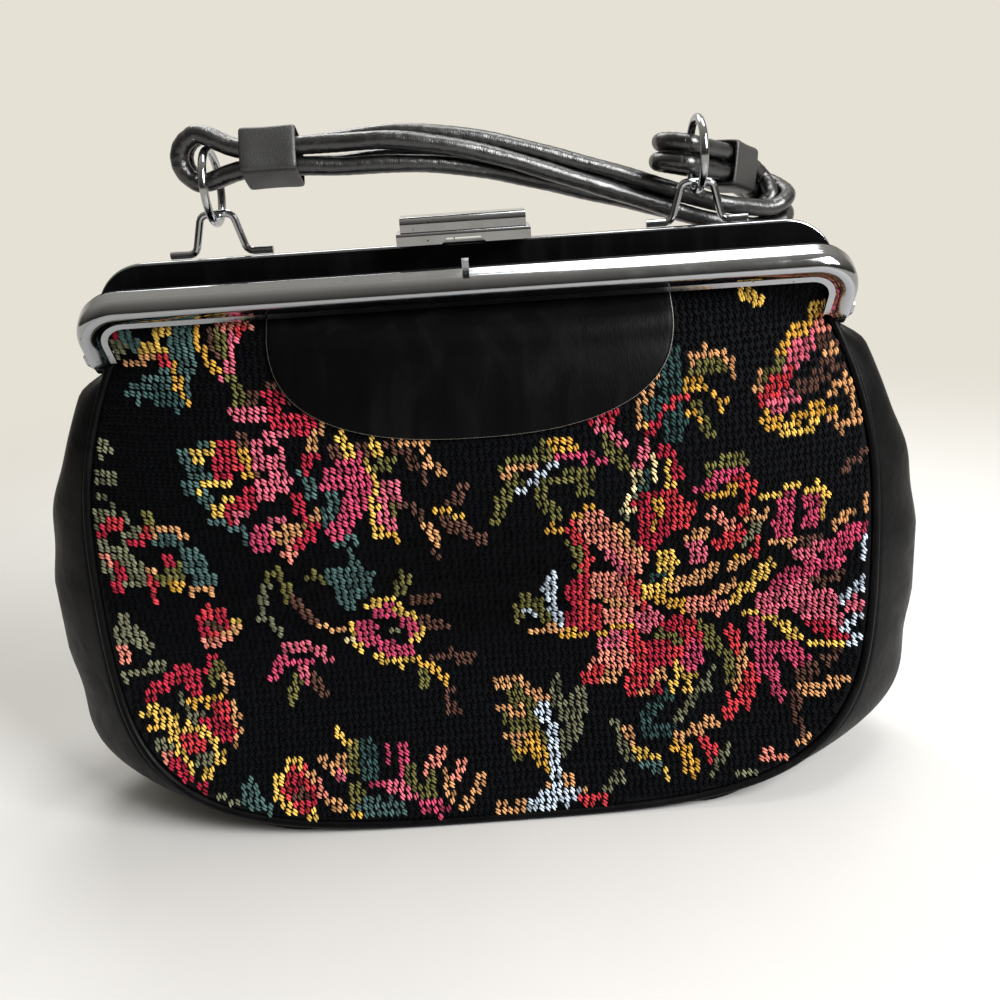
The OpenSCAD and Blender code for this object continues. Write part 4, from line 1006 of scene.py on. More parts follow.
    def stitches(self, tree: bpy.types.NodeTree, yarn: bpy.types.Material,
                 loops: dict) -> list[bpy.types.Object]:
        """Hooks the loops of the ground and of the print into the cloth.

        Args:
            tree: The tree that lays a loop on each point.
            yarn: The wool.
            loops: The loop's shape for the ground and for the print.

        Returns:
            The ground and the print, each one plain mesh.
        """
        place, outward, spot = self.stitch_places()
        colour, proud, printed = self.threads(spot)
        pieces = []
        for part, chosen in (("ground", ~printed), ("print", printed)):
            name = self.name + "_needlework_" + part
            rows = (place[chosen], outward[chosen], colour[chosen], proud[chosen])
            pieces.append(self.hook(name, rows, tree, yarn, loops[part]))
        return pieces

    def hook(self, name: str, rows: tuple, tree: bpy.types.NodeTree, yarn: bpy.types.Material,
             loop: bpy.types.Object) -> bpy.types.Object:
        """Lays one loop on each place.

        Args:
            name: The piece's name.
            rows: Places, outward directions, colours and heights of the loops.
            tree: The tree that lays a loop on each point.
            yarn: The wool.
            loop: The loop's shape.

        Returns:
            The loops as one plain mesh.
        """
        place, outward, colour, proud = rows
        mesh = bpy.data.meshes.new(name)
        mesh.from_pydata((place * MM).tolist(), [], [])
        mesh.attributes.new("outward", "FLOAT_VECTOR", "POINT").data.foreach_set("vector", outward.ravel())
        mesh.attributes.new("thread", "FLOAT_COLOR", "POINT").data.foreach_set("color", colour.ravel())
        mesh.attributes.new("proud", "FLOAT", "POINT").data.foreach_set("value", proud)
        piece = bpy.data.objects.new(mesh.name, mesh)
        bpy.context.collection.objects.link(piece)
        modifier = piece.modifiers.new("stitches", "NODES")
        modifier.node_group = tree
        half_width, half_length, height = (MM * size for size in self.loop)
        given = {"Loop half width": half_width, "Loop half length": half_length, "Loop height": height,
                 "Slant": math.radians(self.slant), "Yarn": yarn, "Loop": loop}
        for item in tree.interface.items_tree:
            if item.name in given:
                modifier[item.identifier] = given[item.name]
        return flatten(piece)


def flatten(piece: bpy.types.Object) -> bpy.types.Object:
    """Turns a piece with a node modifier into a plain mesh.

    Args:
        piece: The piece, with its inputs set.

    Returns:
        The same object, without the modifier.
    """
    graph = bpy.context.evaluated_depsgraph_get()
    made = piece.evaluated_get(graph)
    result = bpy.data.meshes.new_from_object(made, preserve_all_data_layers=True, depsgraph=graph)
    piece.modifiers.clear()
    result.name = piece.name
    piece.data = result
    return piece


def wool_loop(name: str, sides: int) -> bpy.types.Object:
    """Makes one stitch of two strands lying side by side, one unit in half width and height.

    Args:
        name: The shape's name.
        sides: Points round each strand.

    Returns:
        The stitch, for the stitch tree only.
    """
    rings = ((0.5, -0.2), (0.45, 0.5))
    long = 1.7
    turn = np.linspace(0, math.tau, sides, endpoint=False) + math.pi / sides
    points = []
    faces = []
    for side in (-1, 1):
        first = len(points)
        middle = (0.5 * side, 0.16 * side)
        for half, height in rings:
            x = middle[0] + half * np.cos(turn)
            y = middle[1] + long * half * np.sin(turn)
            points += [(*place, height) for place in zip(x, y)]
        points.append((middle[0], middle[1], 1.0))
        lid = first + 2 * sides
        strand = strip_faces(2, sides, ring=True)
        strand.append(tuple(reversed(range(sides))))
        faces += [tuple(first + i for i in f) for f in strand]
        faces += [(lid - sides + k, lid - sides + (k + 1) % sides, lid) for k in range(sides)]
    return make_object(name, np.array(points) / MM, faces, [])


def stitch_tree() -> bpy.types.NodeTree:
    """Builds the tree that hooks a loop of wool at each point, square to the cloth.

    Returns:
        The tree, with its sizes as inputs.
    """
    tree = bpy.data.node_groups.new("hook_stitches", "GeometryNodeTree")
    tree.interface.new_socket("Points", in_out="INPUT", socket_type="NodeSocketGeometry")
    for name in ("Loop half width", "Loop half length", "Loop height", "Slant"):
        tree.interface.new_socket(name, in_out="INPUT", socket_type="NodeSocketFloat")
    tree.interface.new_socket("Loop", in_out="INPUT", socket_type="NodeSocketObject")
    tree.interface.new_socket("Yarn", in_out="INPUT", socket_type="NodeSocketMaterial")
    tree.interface.new_socket("Stitches", in_out="OUTPUT", socket_type="NodeSocketGeometry")
    given = add_node(tree, "NodeGroupInput")
    outward = add_node(tree, "GeometryNodeInputNamedAttribute", {"Name": "outward"},
                       data_type="FLOAT_VECTOR")
    proud = add_node(tree, "GeometryNodeInputNamedAttribute", {"Name": "proud"}, data_type="FLOAT")
    turned = add_node(tree, "FunctionNodeAlignRotationToVector", {"Vector": outward.outputs[0]}, axis="Z")
    height = add_node(tree, "ShaderNodeMath", {0: given.outputs["Loop height"], 1: proud.outputs[0]},
                      operation="MULTIPLY")
    sway = add_node(tree, "FunctionNodeRandomValue", {2: -0.35, 3: 0.35, "Seed": 5}, data_type="FLOAT")
    lean = add_node(tree, "ShaderNodeMath", {0: given.outputs["Slant"], 1: sway.outputs[1]}, operation="ADD")
    about = add_node(tree, "ShaderNodeCombineXYZ", {"Z": lean.outputs["Value"]})
    spin = add_node(tree, "FunctionNodeEulerToRotation", {"Euler": about.outputs["Vector"]})
    leaning = add_node(tree, "FunctionNodeRotateRotation", {"Rotation": turned.outputs["Rotation"],
                                                            "Rotate By": spin.outputs["Rotation"]},
                       rotation_space="LOCAL")
    size = add_node(tree, "ShaderNodeCombineXYZ", {"X": given.outputs["Loop half width"],
                                                   "Y": given.outputs["Loop half length"],
                                                   "Z": height.outputs["Value"]})
    shape = add_node(tree, "GeometryNodeObjectInfo", {"Object": given.outputs["Loop"]})
    hooked = add_node(tree, "GeometryNodeInstanceOnPoints", {"Points": given.outputs["Points"],
                                                             "Instance": shape.outputs["Geometry"],
                                                             "Rotation": leaning.outputs["Rotation"],
                                                             "Scale": size.outputs["Vector"]})
    real = add_node(tree, "GeometryNodeRealizeInstances", {"Geometry": hooked.outputs["Instances"]})
    dressed = add_node(tree, "GeometryNodeSetMaterial", {"Geometry": real.outputs["Geometry"],
                                                         "Material": given.outputs["Yarn"]})
    add_node(tree, "NodeGroupOutput", {"Stitches": dressed.outputs["Geometry"]})
    return tree


@dataclass
class Bag:
    """The soft body: needlework faces, vinyl gussets, welts, apron, lining and bottom.

    Attributes:
        bend_low: Where the front would begin to follow its frame half, and bend_high where it would follow
            it fully; nothing reads them.
        fold_low: The same for the gussets, with fold_high; nothing reads them either.
        apron_faces: How far its two faces lie outside the middle of the front's cloth.
        floor_half: Half length of the lining's floor at its ends, what its middle adds, and its half depth.
        folds: Height of the gussets' folds, and how they run across and up.
        base_edge: How far the bottom's edge draws in, and its height there.
        base_flat: Where the bottom's ends begin to lift, and how long they take.
    """

    bend_low: tuple = (0.0, -20.0, 158.0)
    bend_high: tuple = (0.0, -20.0, 190.0)
    fold_low: tuple = (0.0, 8.0, 180.0)
    fold_high: tuple = (0.0, -2.06, 188.05)
    welt: float = 1.7
    gusset_half: float = 174.8
    gusset_floor: float = 3.8
    gusset_draw: float = 31.8
    gusset_wall: float = 1.2
    apron_half: float = 72.5
    apron_turn: float = 194.1
    apron_drop: float = 37.2
    apron_power: float = 2.5
    apron_top: float = 206.2
    apron_faces: tuple = (1.5, 2.5)
    apron_bevel: float = 0.45
    lining_gap: float = 2.7
    lining_wall: float = 0.9
    lining_top: float = 200.1
    lining_inset: float = 8.0
    side_lining: float = 2.4
    floor_half: tuple = (70.0, 30.0, 39.0)
    floor_height: float = 5.0
    floor_waves: tuple = (0.4, 13.0, 11.0)
    gusset_bow: float = 96.0
    gusset_tuck: float = 0.84
    folds: tuple = ((0.7, 4.2, 9.0), (0.5, -2.0, 5.0))
    fold_height: float = 0.8
    base_size: tuple = (240.0, 88.0, 40.0)
    base_edge: tuple = ((6.0, 0.0), (0.9, 0.0), (0.25, 0.3), (0.0, 0.8), (0.0, 1.4), (0.3, 1.8), (0.9, 2.0))
    base_lift: float = 7.5
    base_flat: tuple = (70.0, 50.0)
    front: Needlework = field(default_factory=lambda: Needlework(
        "front", -1,
        ((2, -47), (10.3, -44), (25.2, -35.5), (44.9, -25), (67.3, -20), (89.8, -26), (110.3, -33.5),
         (130.9, -37), (149.6, -36.5), (170.2, -33.5), (184.2, -29), (194.1, -24.3), (198.1, -19.5),
         (200.6, -16.4), (203.1, -16.7), (206.4, -19.2)),
        ((2, -46.5), (10.3, -44.5), (29.9, -37.5), (59.8, -28.5), (99.1, -24.5), (149.6, -17),
         (179.5, -8.5), (186.9, -6.4), (203.1, -17.3), (206.4, -19.5)), 134.0, 205.6))
    rear: Needlework = field(default_factory=lambda: Needlework(
        "rear", 1,
        ((2, 47), (10.3, 46.8), (29.9, 44.5), (59.8, 40), (99.1, 32), (130.9, 24.5), (160.8, 17),
         (179.5, 11.5), (198, 7.2), (205, 5.65), (210, 5.35), (214, 5.35)),
        ((2, 46.5), (10.3, 45), (29.9, 39.5), (59.8, 33.5), (99.1, 26.5), (149.6, 15), (179.5, 8),
         (193.5, 5.35), (214, 5.35)), 131.0, 213.0))

    def fix(self, panel: Needlework, piece: bpy.types.Object, slot: Slot, *nodes: str) -> None:
        """Passes a piece of the front to hang, which leaves it unbent, or rides a piece of the rear on the
        bag.

        Args:
            panel: The face that it belongs to.
            piece: The piece.
            slot: The record's slot of its finish.
            *nodes: CAD nodes that it replaces.
        """
        if panel is self.front:
            hang(piece, slot, self.bend_low, self.bend_high, *nodes)
        else:
            settle(piece, slot, "root", *nodes)

    def faces(self, yarn: bpy.types.Material, cloth: bpy.types.Material) -> None:
        """Makes both needlework faces.

        Args:
            yarn: The wool.
            cloth: The ground cloth.
        """
        loops = {"ground": wool_loop("ground_loop", 4), "print": wool_loop("print_loop", 6)}
        tree = stitch_tree()
        for panel in (self.front, self.rear):
            half = panel.cloth_half
            ground = slab(panel.name + "_ground_cloth", panel.sheet(half), panel.sheet(-half), [cloth])
            self.fix(panel, ground, Slot.NEEDLEWORK, panel.name + "_panel")
            for stitches in panel.stitches(tree, yarn, loops):
                self.fix(panel, stitches, Slot.NEEDLEWORK)
        for loop in loops.values():
            bpy.data.objects.remove(loop)

    def seam_line(self, panel: Needlework, turns: np.ndarray, shares: np.ndarray) -> np.ndarray:
        """Gives points of one seam on the right, from the hinge down and under.

        Args:
            panel: The face that the seam edges.
            turns: Angles into the lower corner.
            shares: Shares of the way from the widest height to the hinge, falling.

        Returns:
            Points in mm.
        """
        power = 2 / panel.round_power
        high = panel.widest + (panel.hinge - panel.widest) * shares
        low = panel.widest - (panel.widest - panel.floor) * np.sin(turns) ** power
        z = np.concatenate((high, low))
        x = np.concatenate((panel.half_width(high, 0.0), panel.seam_half * np.cos(turns) ** power))
        return np.stack((x, smooth_through(panel.seam, z), z), axis=1)

    def welts(self, vinyl: bpy.types.Material) -> None:
        """Makes the piping in both long seams.

        Args:
            vinyl: The leathercloth.
        """
        sides = 14
        shares = np.linspace(1, 0, 40)
        turns = np.radians(np.linspace(2, 89.4, 60))
        for panel in (self.front, self.rear):
            right = self.seam_line(panel, turns, shares)
            path = np.vstack((right * (-1, 1, 1), right[::-1]))
            radii = np.full((len(path), sides), self.welt)
            piece = tube(panel.name + "_welt", path, radii, sides, False, vinyl)
            self.fix(panel, piece, Slot.VINYL, panel.name + "_piping")

    def gusset_sheet(self, inset: float) -> np.ndarray:
        """Lays out the right gusset, from its top down and under the corner.

        Args:
            inset: How far inside its outer face.

        Returns:
            Rows by columns by 3 points in mm.
        """
        shares = np.linspace(1.0, 0, 44)
        turns = np.radians(np.linspace(2, 87, 56))
        front = self.seam_line(self.front, turns, shares)
        rear = self.seam_line(self.rear, turns, shares)
        high = self.front.widest + (self.front.hinge - self.front.widest) * shares
        draw = np.clip((high - self.gusset_bow) / (self.front.hinge - self.gusset_bow), 0, 1) ** 1.5
        outer = np.concatenate((self.gusset_half - self.gusset_draw * draw,
                                self.gusset_half * np.cos(turns) ** (1 / 3)))
        low = self.front.widest - (self.front.widest - self.gusset_floor) * np.sin(turns) ** (1 / 3)
        ridge = np.stack((outer, (front[:, 1] + rear[:, 1]) / 2, np.concatenate((high, low))), axis=1)
        tuck = np.clip((shares - self.gusset_tuck) / (1 - self.gusset_tuck), 0, 1)
        tuck = np.concatenate((tuck, 0 * turns))
        tuck = tuck * tuck * (3 - 2 * tuck)
        ridge[:, 0] += tuck * ((front[:, 0] + rear[:, 0]) / 2 - 1.0 - ridge[:, 0])
        t = np.linspace(-1, 1, 31)[None, :, None]
        middle = (front + rear)[:, None] / 2
        grid = middle + t * (rear - front)[:, None] / 2 + (1 - t ** 2) * (ridge[:, None] - middle)
        fold = sum(rise * np.sin(run * t + grid[..., 2:] / up) for rise, run, up in self.folds)
        normal = grid_normals(grid)
        normal *= np.sign(normal[..., :1].mean())
        return grid + normal * (self.gusset_wall - inset + fold * (1 - t ** 2) * self.fold_height)

    def gussets(self, vinyl: bpy.types.Material, cloth: bpy.types.Material) -> None:
        """Makes both vinyl sides and their lining.

        Args:
            vinyl: The leathercloth.
            cloth: The lining cloth.
        """
        for name, side in (("left", (-1, 1, 1)), ("right", (1, 1, 1))):
            wall = slab(name + "_gusset_vinyl", self.gusset_sheet(0) * side,
                        self.gusset_sheet(self.gusset_wall) * side, [vinyl])
            hang(wall, Slot.VINYL, self.fold_low, self.fold_high, name + "_gusset")
            inner = self.side_lining + self.lining_wall
            inside = slab(name + "_side_lining", self.gusset_sheet(self.side_lining)[:, 1:-1] * side,
                          self.gusset_sheet(inner)[:, 1:-1] * side, [cloth])
            hang(inside, Slot.LINING, self.fold_low, self.fold_high)

    def apron(self, vinyl: bpy.types.Material, edge: bpy.types.Material) -> None:
        """Makes the half-moon over the top of the front.

        Args:
            vinyl: The leathercloth.
            edge: Its cut edge.
        """
        power = 2 / self.apron_power
        turns = np.radians(np.linspace(89, 0, 44))
        straight = np.linspace(self.apron_turn, self.apron_top, 14)[1:]
        sheets = []
        for off, bevel in zip(self.apron_faces, (0.0, self.apron_bevel)):
            low = self.apron_turn - (self.apron_drop - bevel) * np.sin(turns) ** power
            wide = self.apron_half - bevel
            half = np.concatenate((wide * np.cos(turns) ** power, np.full(len(straight), wide)))
            z = np.concatenate((low, straight))[:, None]
            x = np.linspace(-1, 1, 81)[None, :] * half[:, None]
            z = z + 0 * x
            sheets.append(np.stack((x, self.front.depth(x, z) - off, z), axis=2))
        piece = slab("front_half_moon", sheets[1], sheets[0], [vinyl, edge])
        hang(piece, Slot.VINYL, self.bend_low, self.bend_high, "front_apron")

    def lining(self, cloth: bpy.types.Material) -> None:
        """Makes the front and rear of the lining and its floor.

        Args:
            cloth: The lining cloth.
        """
        gap = self.lining_gap
        for panel in (self.front, self.rear):
            cut = panel.heights(96) < self.lining_top
            outer = panel.sheet(-gap, inset=self.lining_inset)[cut]
            inner = panel.sheet(-gap - self.lining_wall, inset=self.lining_inset)[cut]
            piece = slab(panel.name + "_lining", outer, inner, [cloth])
            nodes = ("lining",) if panel is self.rear else ()
            self.fix(panel, piece, Slot.LINING, *nodes)
        end, more, deep = self.floor_half
        share, y = np.meshgrid(np.linspace(-1, 1, 50), np.linspace(-deep, deep, 20))
        x = share * (end + more * (1 - (y / deep) ** 2))
        rise, along, over = self.floor_waves
        wave = rise * np.sin(x / along) * np.sin(y / over)
        floor = np.stack((x, y, self.floor_height + wave), axis=2)
        piece = slab("floor_lining", floor + (0, 0, self.lining_wall), floor, [cloth])
        settle(piece, Slot.LINING, "root")

    def bottom(self, vinyl: bpy.types.Material) -> None:
        """Makes the vinyl bottom, a thin plate with soft edges.

        Args:
            vinyl: The leathercloth.
        """
        length, depth, corner = self.base_size
        sides = 128
        turn = np.linspace(0, math.tau, sides, endpoint=False)
        ring = np.stack((np.cos(turn), np.sin(turn)), axis=1)
        middle = np.array((length / 2 - corner, depth / 2 - corner))
        begin, run = self.base_flat
        rows = []
        for draw, height in self.base_edge:
            flat = np.sign(ring) * middle + ring * (corner - draw)
            lift = self.base_lift * np.clip((np.abs(flat[:, 0]) - begin) / run, 0, 1) ** 2
            rows.append(np.column_stack((flat, height + lift)))
        faces = strip_faces(len(rows), sides, ring=True) + end_faces(len(rows), sides)
        piece = make_object("bottom_vinyl", np.vstack(rows), faces, [vinyl])
        settle(piece, Slot.VINYL, "root", "base_panel")


def unit(vector: np.ndarray) -> np.ndarray:
    """Scales a vector to length one."""
    return vector / np.linalg.norm(vector)


@dataclass
class Handle:
    """The handle: two doubled cords of vinyl and two sleeves that keep them together.

    Attributes:
        strand: Half the distance between the strands, and loop the same round a ring.
        cord_ease: How much thinner a cord is than its solid, and pucker the height of its wrinkles.
        rib: Length of one rib of the cord's cover.
        left_keeper: Middle of the left end of that sleeve; right_keeper the same, along right_way.
        keeper_roll: How far each sleeve is rolled about its strands, in degrees.
        keeper_fold: Radius of the sleeve's inner corners, and keeper_square how soon its sides run flat.
        keeper_swell: Places along a sleeve, and how far its outside stands out there.
    """

    strand: float = 3.5
    cord: float = 6.6
    cord_ease: float = 0.08
    pucker: tuple = (0.05, 0.06)
    rib: float = 0.9
    loop: float = 8.15
    keeper_inside: float = 14.8
    keeper_outside: float = 17.2
    keeper_round: float = 2.4
    keeper_fold: float = 1.4
    keeper_ease: float = 0.05
    keeper_square: float = 2.4
    keeper_length: float = 20.0
    left_keeper: tuple = (-77.0, 5.35, 254.55)
    right_keeper: tuple = (98.5, 24.25, 241.85)
    right_way: tuple = (0.600, 0.768, -0.225)
    keeper_roll: tuple = (-27.0, 0.0)
    keeper_swell: tuple = ((0.0, -0.45), (0.02, -0.15), (0.06, 0.0), (0.15, 0.0), (0.3, -0.1), (0.5, -0.15),
                           (0.7, -0.1), (0.85, 0.0), (0.94, 0.0), (0.98, -0.15), (1.0, -0.45))

    def route(self) -> list[tuple[np.ndarray, float, float]]:
        """Gives the middle of the handle from left to right.

        Returns:
            Places in mm, half the spread of the strands, and the roll in degrees.
        """
        way = unit(np.array(self.right_way))
        near = np.array(self.right_keeper)
        far = near + self.keeper_length * way
        left = np.array(self.left_keeper)
        s = self.strand
        run = [((-91, 5.35, 255.6), self.loop, 0), (left, s, 0), (left + (self.keeper_length, 0, 0), s, 0),
               ((-42, 7, 254.5), s + 0.6, 8), ((-24, 8, 255), s + 0.8, 20), ((-6, 10, 253.5), s + 0.5, 33),
               ((12, 13, 250), s + 0.3, 45), ((30, 16, 245), s, 56), ((48, 19, 239.5), s, 67),
               ((66, 22, 234), s, 78), ((84, 24, 228), s, 86), ((97, 22.5, 224), s, 90),
               ((108, 26, 221.5), s, 90), ((118.5, 30.5, 220), s, 90), ((124, 33, 221.5), s, 90),
               ((126.5, 38, 224.5), s, 90), ((124, 43.5, 228), s, 90), ((118.5, 45.5, 232), s, 90),
               (far + 3 * way, s, 90), (far, s, 90),
               (near, s, 90), (near - 3 * way, s + 0.4, 90), ((83, 15.75, 245.85), self.loop, 90)]
        return [(np.array(place, dtype=float), spread, roll) for place, spread, roll in run]

    def cord_path(self, offset: float) -> np.ndarray:
        """Follows one cord out, round the right ring, back and round the left ring.

        Args:
            offset: How far the cord lies beside the middle.

        Returns:
            Points of a closed path in mm.
        """
        route = self.route()
        last = len(route) - 1

        def point(i: int, swing: float) -> np.ndarray:
            """Gives one point of the cord.

            Args:
                i: The stop of the route.
                swing: How far round the ring it lies, in degrees.

            Returns:
                The point in mm.
            """
            place, spread, roll = route[i]
            heading = unit(route[min(i + 1, last)][0] - route[max(i - 1, 0)][0])
            across = unit(np.cross(heading, UP))
            lift = np.cross(across, heading)
            wide = math.cos(math.radians(roll)) * lift + math.sin(math.radians(roll)) * across
            turn = math.radians(swing)
            ahead = math.cos(turn) * wide + math.sin(turn) * heading
            return place + offset * np.cross(wide, heading) + spread * ahead

        stops = [point(i, 0) for i in range(last + 1)]
        stops += [point(last, swing) for swing in (30, 60, 90, 120, 150)]
        stops += [point(i, 180) for i in range(last, -1, -1)]
        stops += [point(0, swing) for swing in (210, 240, 270, 300, 330)]
        return np.array(stops)

    def cords(self, vinyl: bpy.types.Material) -> None:
        """Makes both cords, with the small wrinkles of vinyl bent round a filler.

        Args:
            vinyl: The cords' finish.
        """
        sides = 18
        for name, offset in (("front", -self.strand), ("rear", self.strand)):
            path = curve_through(self.cord_path(offset), 10, True)
            step = np.linalg.norm(np.roll(path, -1, axis=0) - path, axis=1)
            run = (np.cumsum(step) - step)[:, None]
            turn = np.linspace(0, math.tau, sides, endpoint=False)[None, :]
            wrinkle = self.pucker[0] * np.sin(run * 2.1 + 0.8 * np.sin(run / 7))
            ripple = self.pucker[1] * np.sin(run / 4.3 + 2 * turn)
            radii = self.cord / 2 - self.cord_ease + (wrinkle + ripple)
            piece = tube("handle_cord_vinyl_" + name, path, radii, sides, True, vinyl)
            length = np.repeat(run[:, 0], sides) * math.tau / self.rib
            piece.data.attributes.new("run", "FLOAT", "POINT").data.foreach_set("value", length)
            settle(piece, Slot.CORD_VINYL, "handle", "handle_cord_" + name)

    def keepers(self, vinyl: bpy.types.Material) -> None:
        """Makes both sleeves: folded vinyl, flat faced, a little pulled in at the middle.

        Args:
            vinyl: The sleeves' finish.
        """
        sides = 64
        turn = np.linspace(0, math.tau, sides, endpoint=False)
        ring = np.stack((np.cos(turn), np.sin(turn)), axis=1)
        square = np.sign(np.round(ring, 6)) * np.minimum(1, np.abs(ring) * self.keeper_square)
        out, inside = self.keeper_outside / 2, self.keeper_inside / 2 + self.keeper_ease
        rows = [(share, out + swell, self.keeper_round) for share, swell in self.keeper_swell]
        rows += [(share, inside, self.keeper_fold) for share, _ in reversed(self.keeper_swell)]
        places = (("left", self.left_keeper, (1.0, 0.0, 0.0), self.keeper_roll[0]),
                  ("right", self.right_keeper, self.right_way, self.keeper_roll[1]))
        for name, start, ahead, roll in places:
            near = np.array(start)
            way = unit(np.array(ahead))
            level = unit(np.cross(way, UP))
            upright = np.cross(level, way)
            lean = math.radians(roll)
            across = math.cos(lean) * level - math.sin(lean) * upright
            lift = math.cos(lean) * upright + math.sin(lean) * level
            points = []
            for share, half, corner in rows:
                flat = square * (half - corner) + ring * corner
                place = near + way * share * self.keeper_length
                points.append(place + flat[:, :1] * across + flat[:, 1:] * lift)
            faces = strip_faces(len(rows), sides, ring=True, loop=True)
            piece = make_object(name + "_keeper_sleeve", np.vstack(points), faces, [vinyl])
            settle(piece, Slot.VINYL, "handle", name + "_keeper")


@dataclass
class FrameRoll:
    """The rolled outer face of the front frame half: plated metal crowned over its flat band.

    The rear half's band stays flat, because the handle comes to rest on it.

    Attributes:
        root: How deep the roll's middle lies inside the band's face.
        drop: How far the roll's middle lies below the band's outer edge.
        rise: How far the section's top lies above the roll's middle.
        bulge: How far the crown stands proud of the band's face.
        bends: First and last direction of each stretch of the section, its length and its points.
        tail: How the roll thins out at its ends, as distance below the leg and share of the section.
    """

    hinge: float = 187.0
    height: float = 34.0
    corner: float = 19.0
    leg_bottom: float = 6.5
    lean: float = 34.0
    root: float = 4.2
    drop: float = 5.2
    rise: float = 5.17
    bulge: float = 2.0
    skin: float = 1.0
    bends: tuple = ((100, 38, 7.0, 12), (38, 2, 0.97, 7), (2, -60, 7.8, 12))
    tail: tuple = ((3.0, 0.25), (2.6, 0.6), (1.8, 0.85), (0.9, 0.96))

    def stations(self, width: float) -> tuple[np.ndarray, np.ndarray, np.ndarray]:
        """Follows the band's outer edge from the left leg to the right leg.

        Args:
            width: Outer width of the frame half.

        Returns:
            Places (x, z), inward directions and the share of the full section there.
        """
        half = width / 2
        bend = self.height - self.corner
        low = [((-half, self.leg_bottom - d), (1, 0), share) for d, share in self.tail]
        leg = [((-half, z), (1, 0), 1.0) for z in np.linspace(self.leg_bottom, bend, 5)[:-1]]
        turns = np.radians(np.linspace(180, 90, 16))
        arc = [((self.corner - half + self.corner * math.cos(a), bend + self.corner * math.sin(a)),
                (-math.cos(a), -math.sin(a)), 1.0) for a in turns]
        left = low + leg + arc
        across = np.linspace(self.corner - half, half - self.corner, 40)[1:-1]
        top = [((x, self.height), (0, -1), 1.0) for x in across]
        right = [((-p[0], p[1]), (-d[0], d[1]), share) for p, d, share in reversed(left)]
        rows = left + top + right
        return tuple(np.array([row[k] for row in rows], dtype=float) for k in range(3))

    def section(self) -> tuple[np.ndarray, np.ndarray]:
        """Draws the section: round over the top, a tight crown, then a slow fall to the lower edge.

        Returns:
            Places outward and upward of the roll's middle, down the outer face and back up the inner.
        """
        normal = []
        step = []
        for first, last, length, count in self.bends:
            normal.append(np.radians(np.linspace(first, last, count, endpoint=False)))
            step.append(np.full(count, length / count))
        normal = np.concatenate(normal)
        step = np.concatenate(step)
        u = np.cumsum(step * np.sin(normal))
        v = -np.cumsum(step * np.cos(normal))
        u = u - u.max() + self.root + self.bulge
        v = v - v.max() + self.rise
        inner_u = (u - self.skin * np.cos(normal))[::-1]
        inner_v = (v - self.skin * np.sin(normal))[::-1]
        return np.concatenate((u, inner_u)), np.concatenate((v, inner_v))

    def roll(self, chrome: bpy.types.Material) -> None:
        """Makes the roll, leaning to the front with its half.

        Args:
            chrome: The finish.
        """
        low, high = (np.array(corner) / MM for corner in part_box("front_rail"))
        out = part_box("rear_rail")[1][1] / MM
        places, inward, shares = self.stations(high[0] - low[0])
        u, v = self.section()
        outward = out - self.root + shares[:, None] * u
        down = self.drop - shares[:, None] * v
        x = places[:, :1] + down * inward[:, :1]
        z = places[:, 1:] + down * inward[:, 1:]
        tip = math.radians(self.lean)
        y = -outward * math.cos(tip) - z * math.sin(tip)
        rise = z * math.cos(tip) - outward * math.sin(tip)
        points = np.stack((x, y, self.hinge + rise), axis=2)
        rows, columns = points.shape[:2]
        faces = strip_faces(rows, columns, ring=True) + end_faces(rows, columns)
        piece = make_object("front_rail_roll", points.reshape(-1, 3), faces, [chrome])
        settle(piece, Slot.CHROME, "front_frame")


@dataclass
class Fittings:
    """The metal and board that keep their CAD shapes and take a finish."""

    chromed: tuple = ("front_rail", "rear_rail", "clasp_cover", "catch_nib", "left_staple",
                      "right_staple", "left_ring", "right_ring", "left_rivet", "right_rivet")
    steel: tuple = ("clasp_base", "clasp_pin", "clasp_spring")
    faced: tuple = ("front_facing", "rear_facing")
    boards: tuple = ("base_board",)

    def dress(self, names: tuple, material: bpy.types.Material) -> None:
        """Gives CAD nodes a finish.

        Args:
            names: The nodes.
            material: The finish.
        """
        for name in names:
            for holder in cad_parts[name].material_slots:
                holder.material = material
            LOG.info("%s dressed in %s", name, material.name)


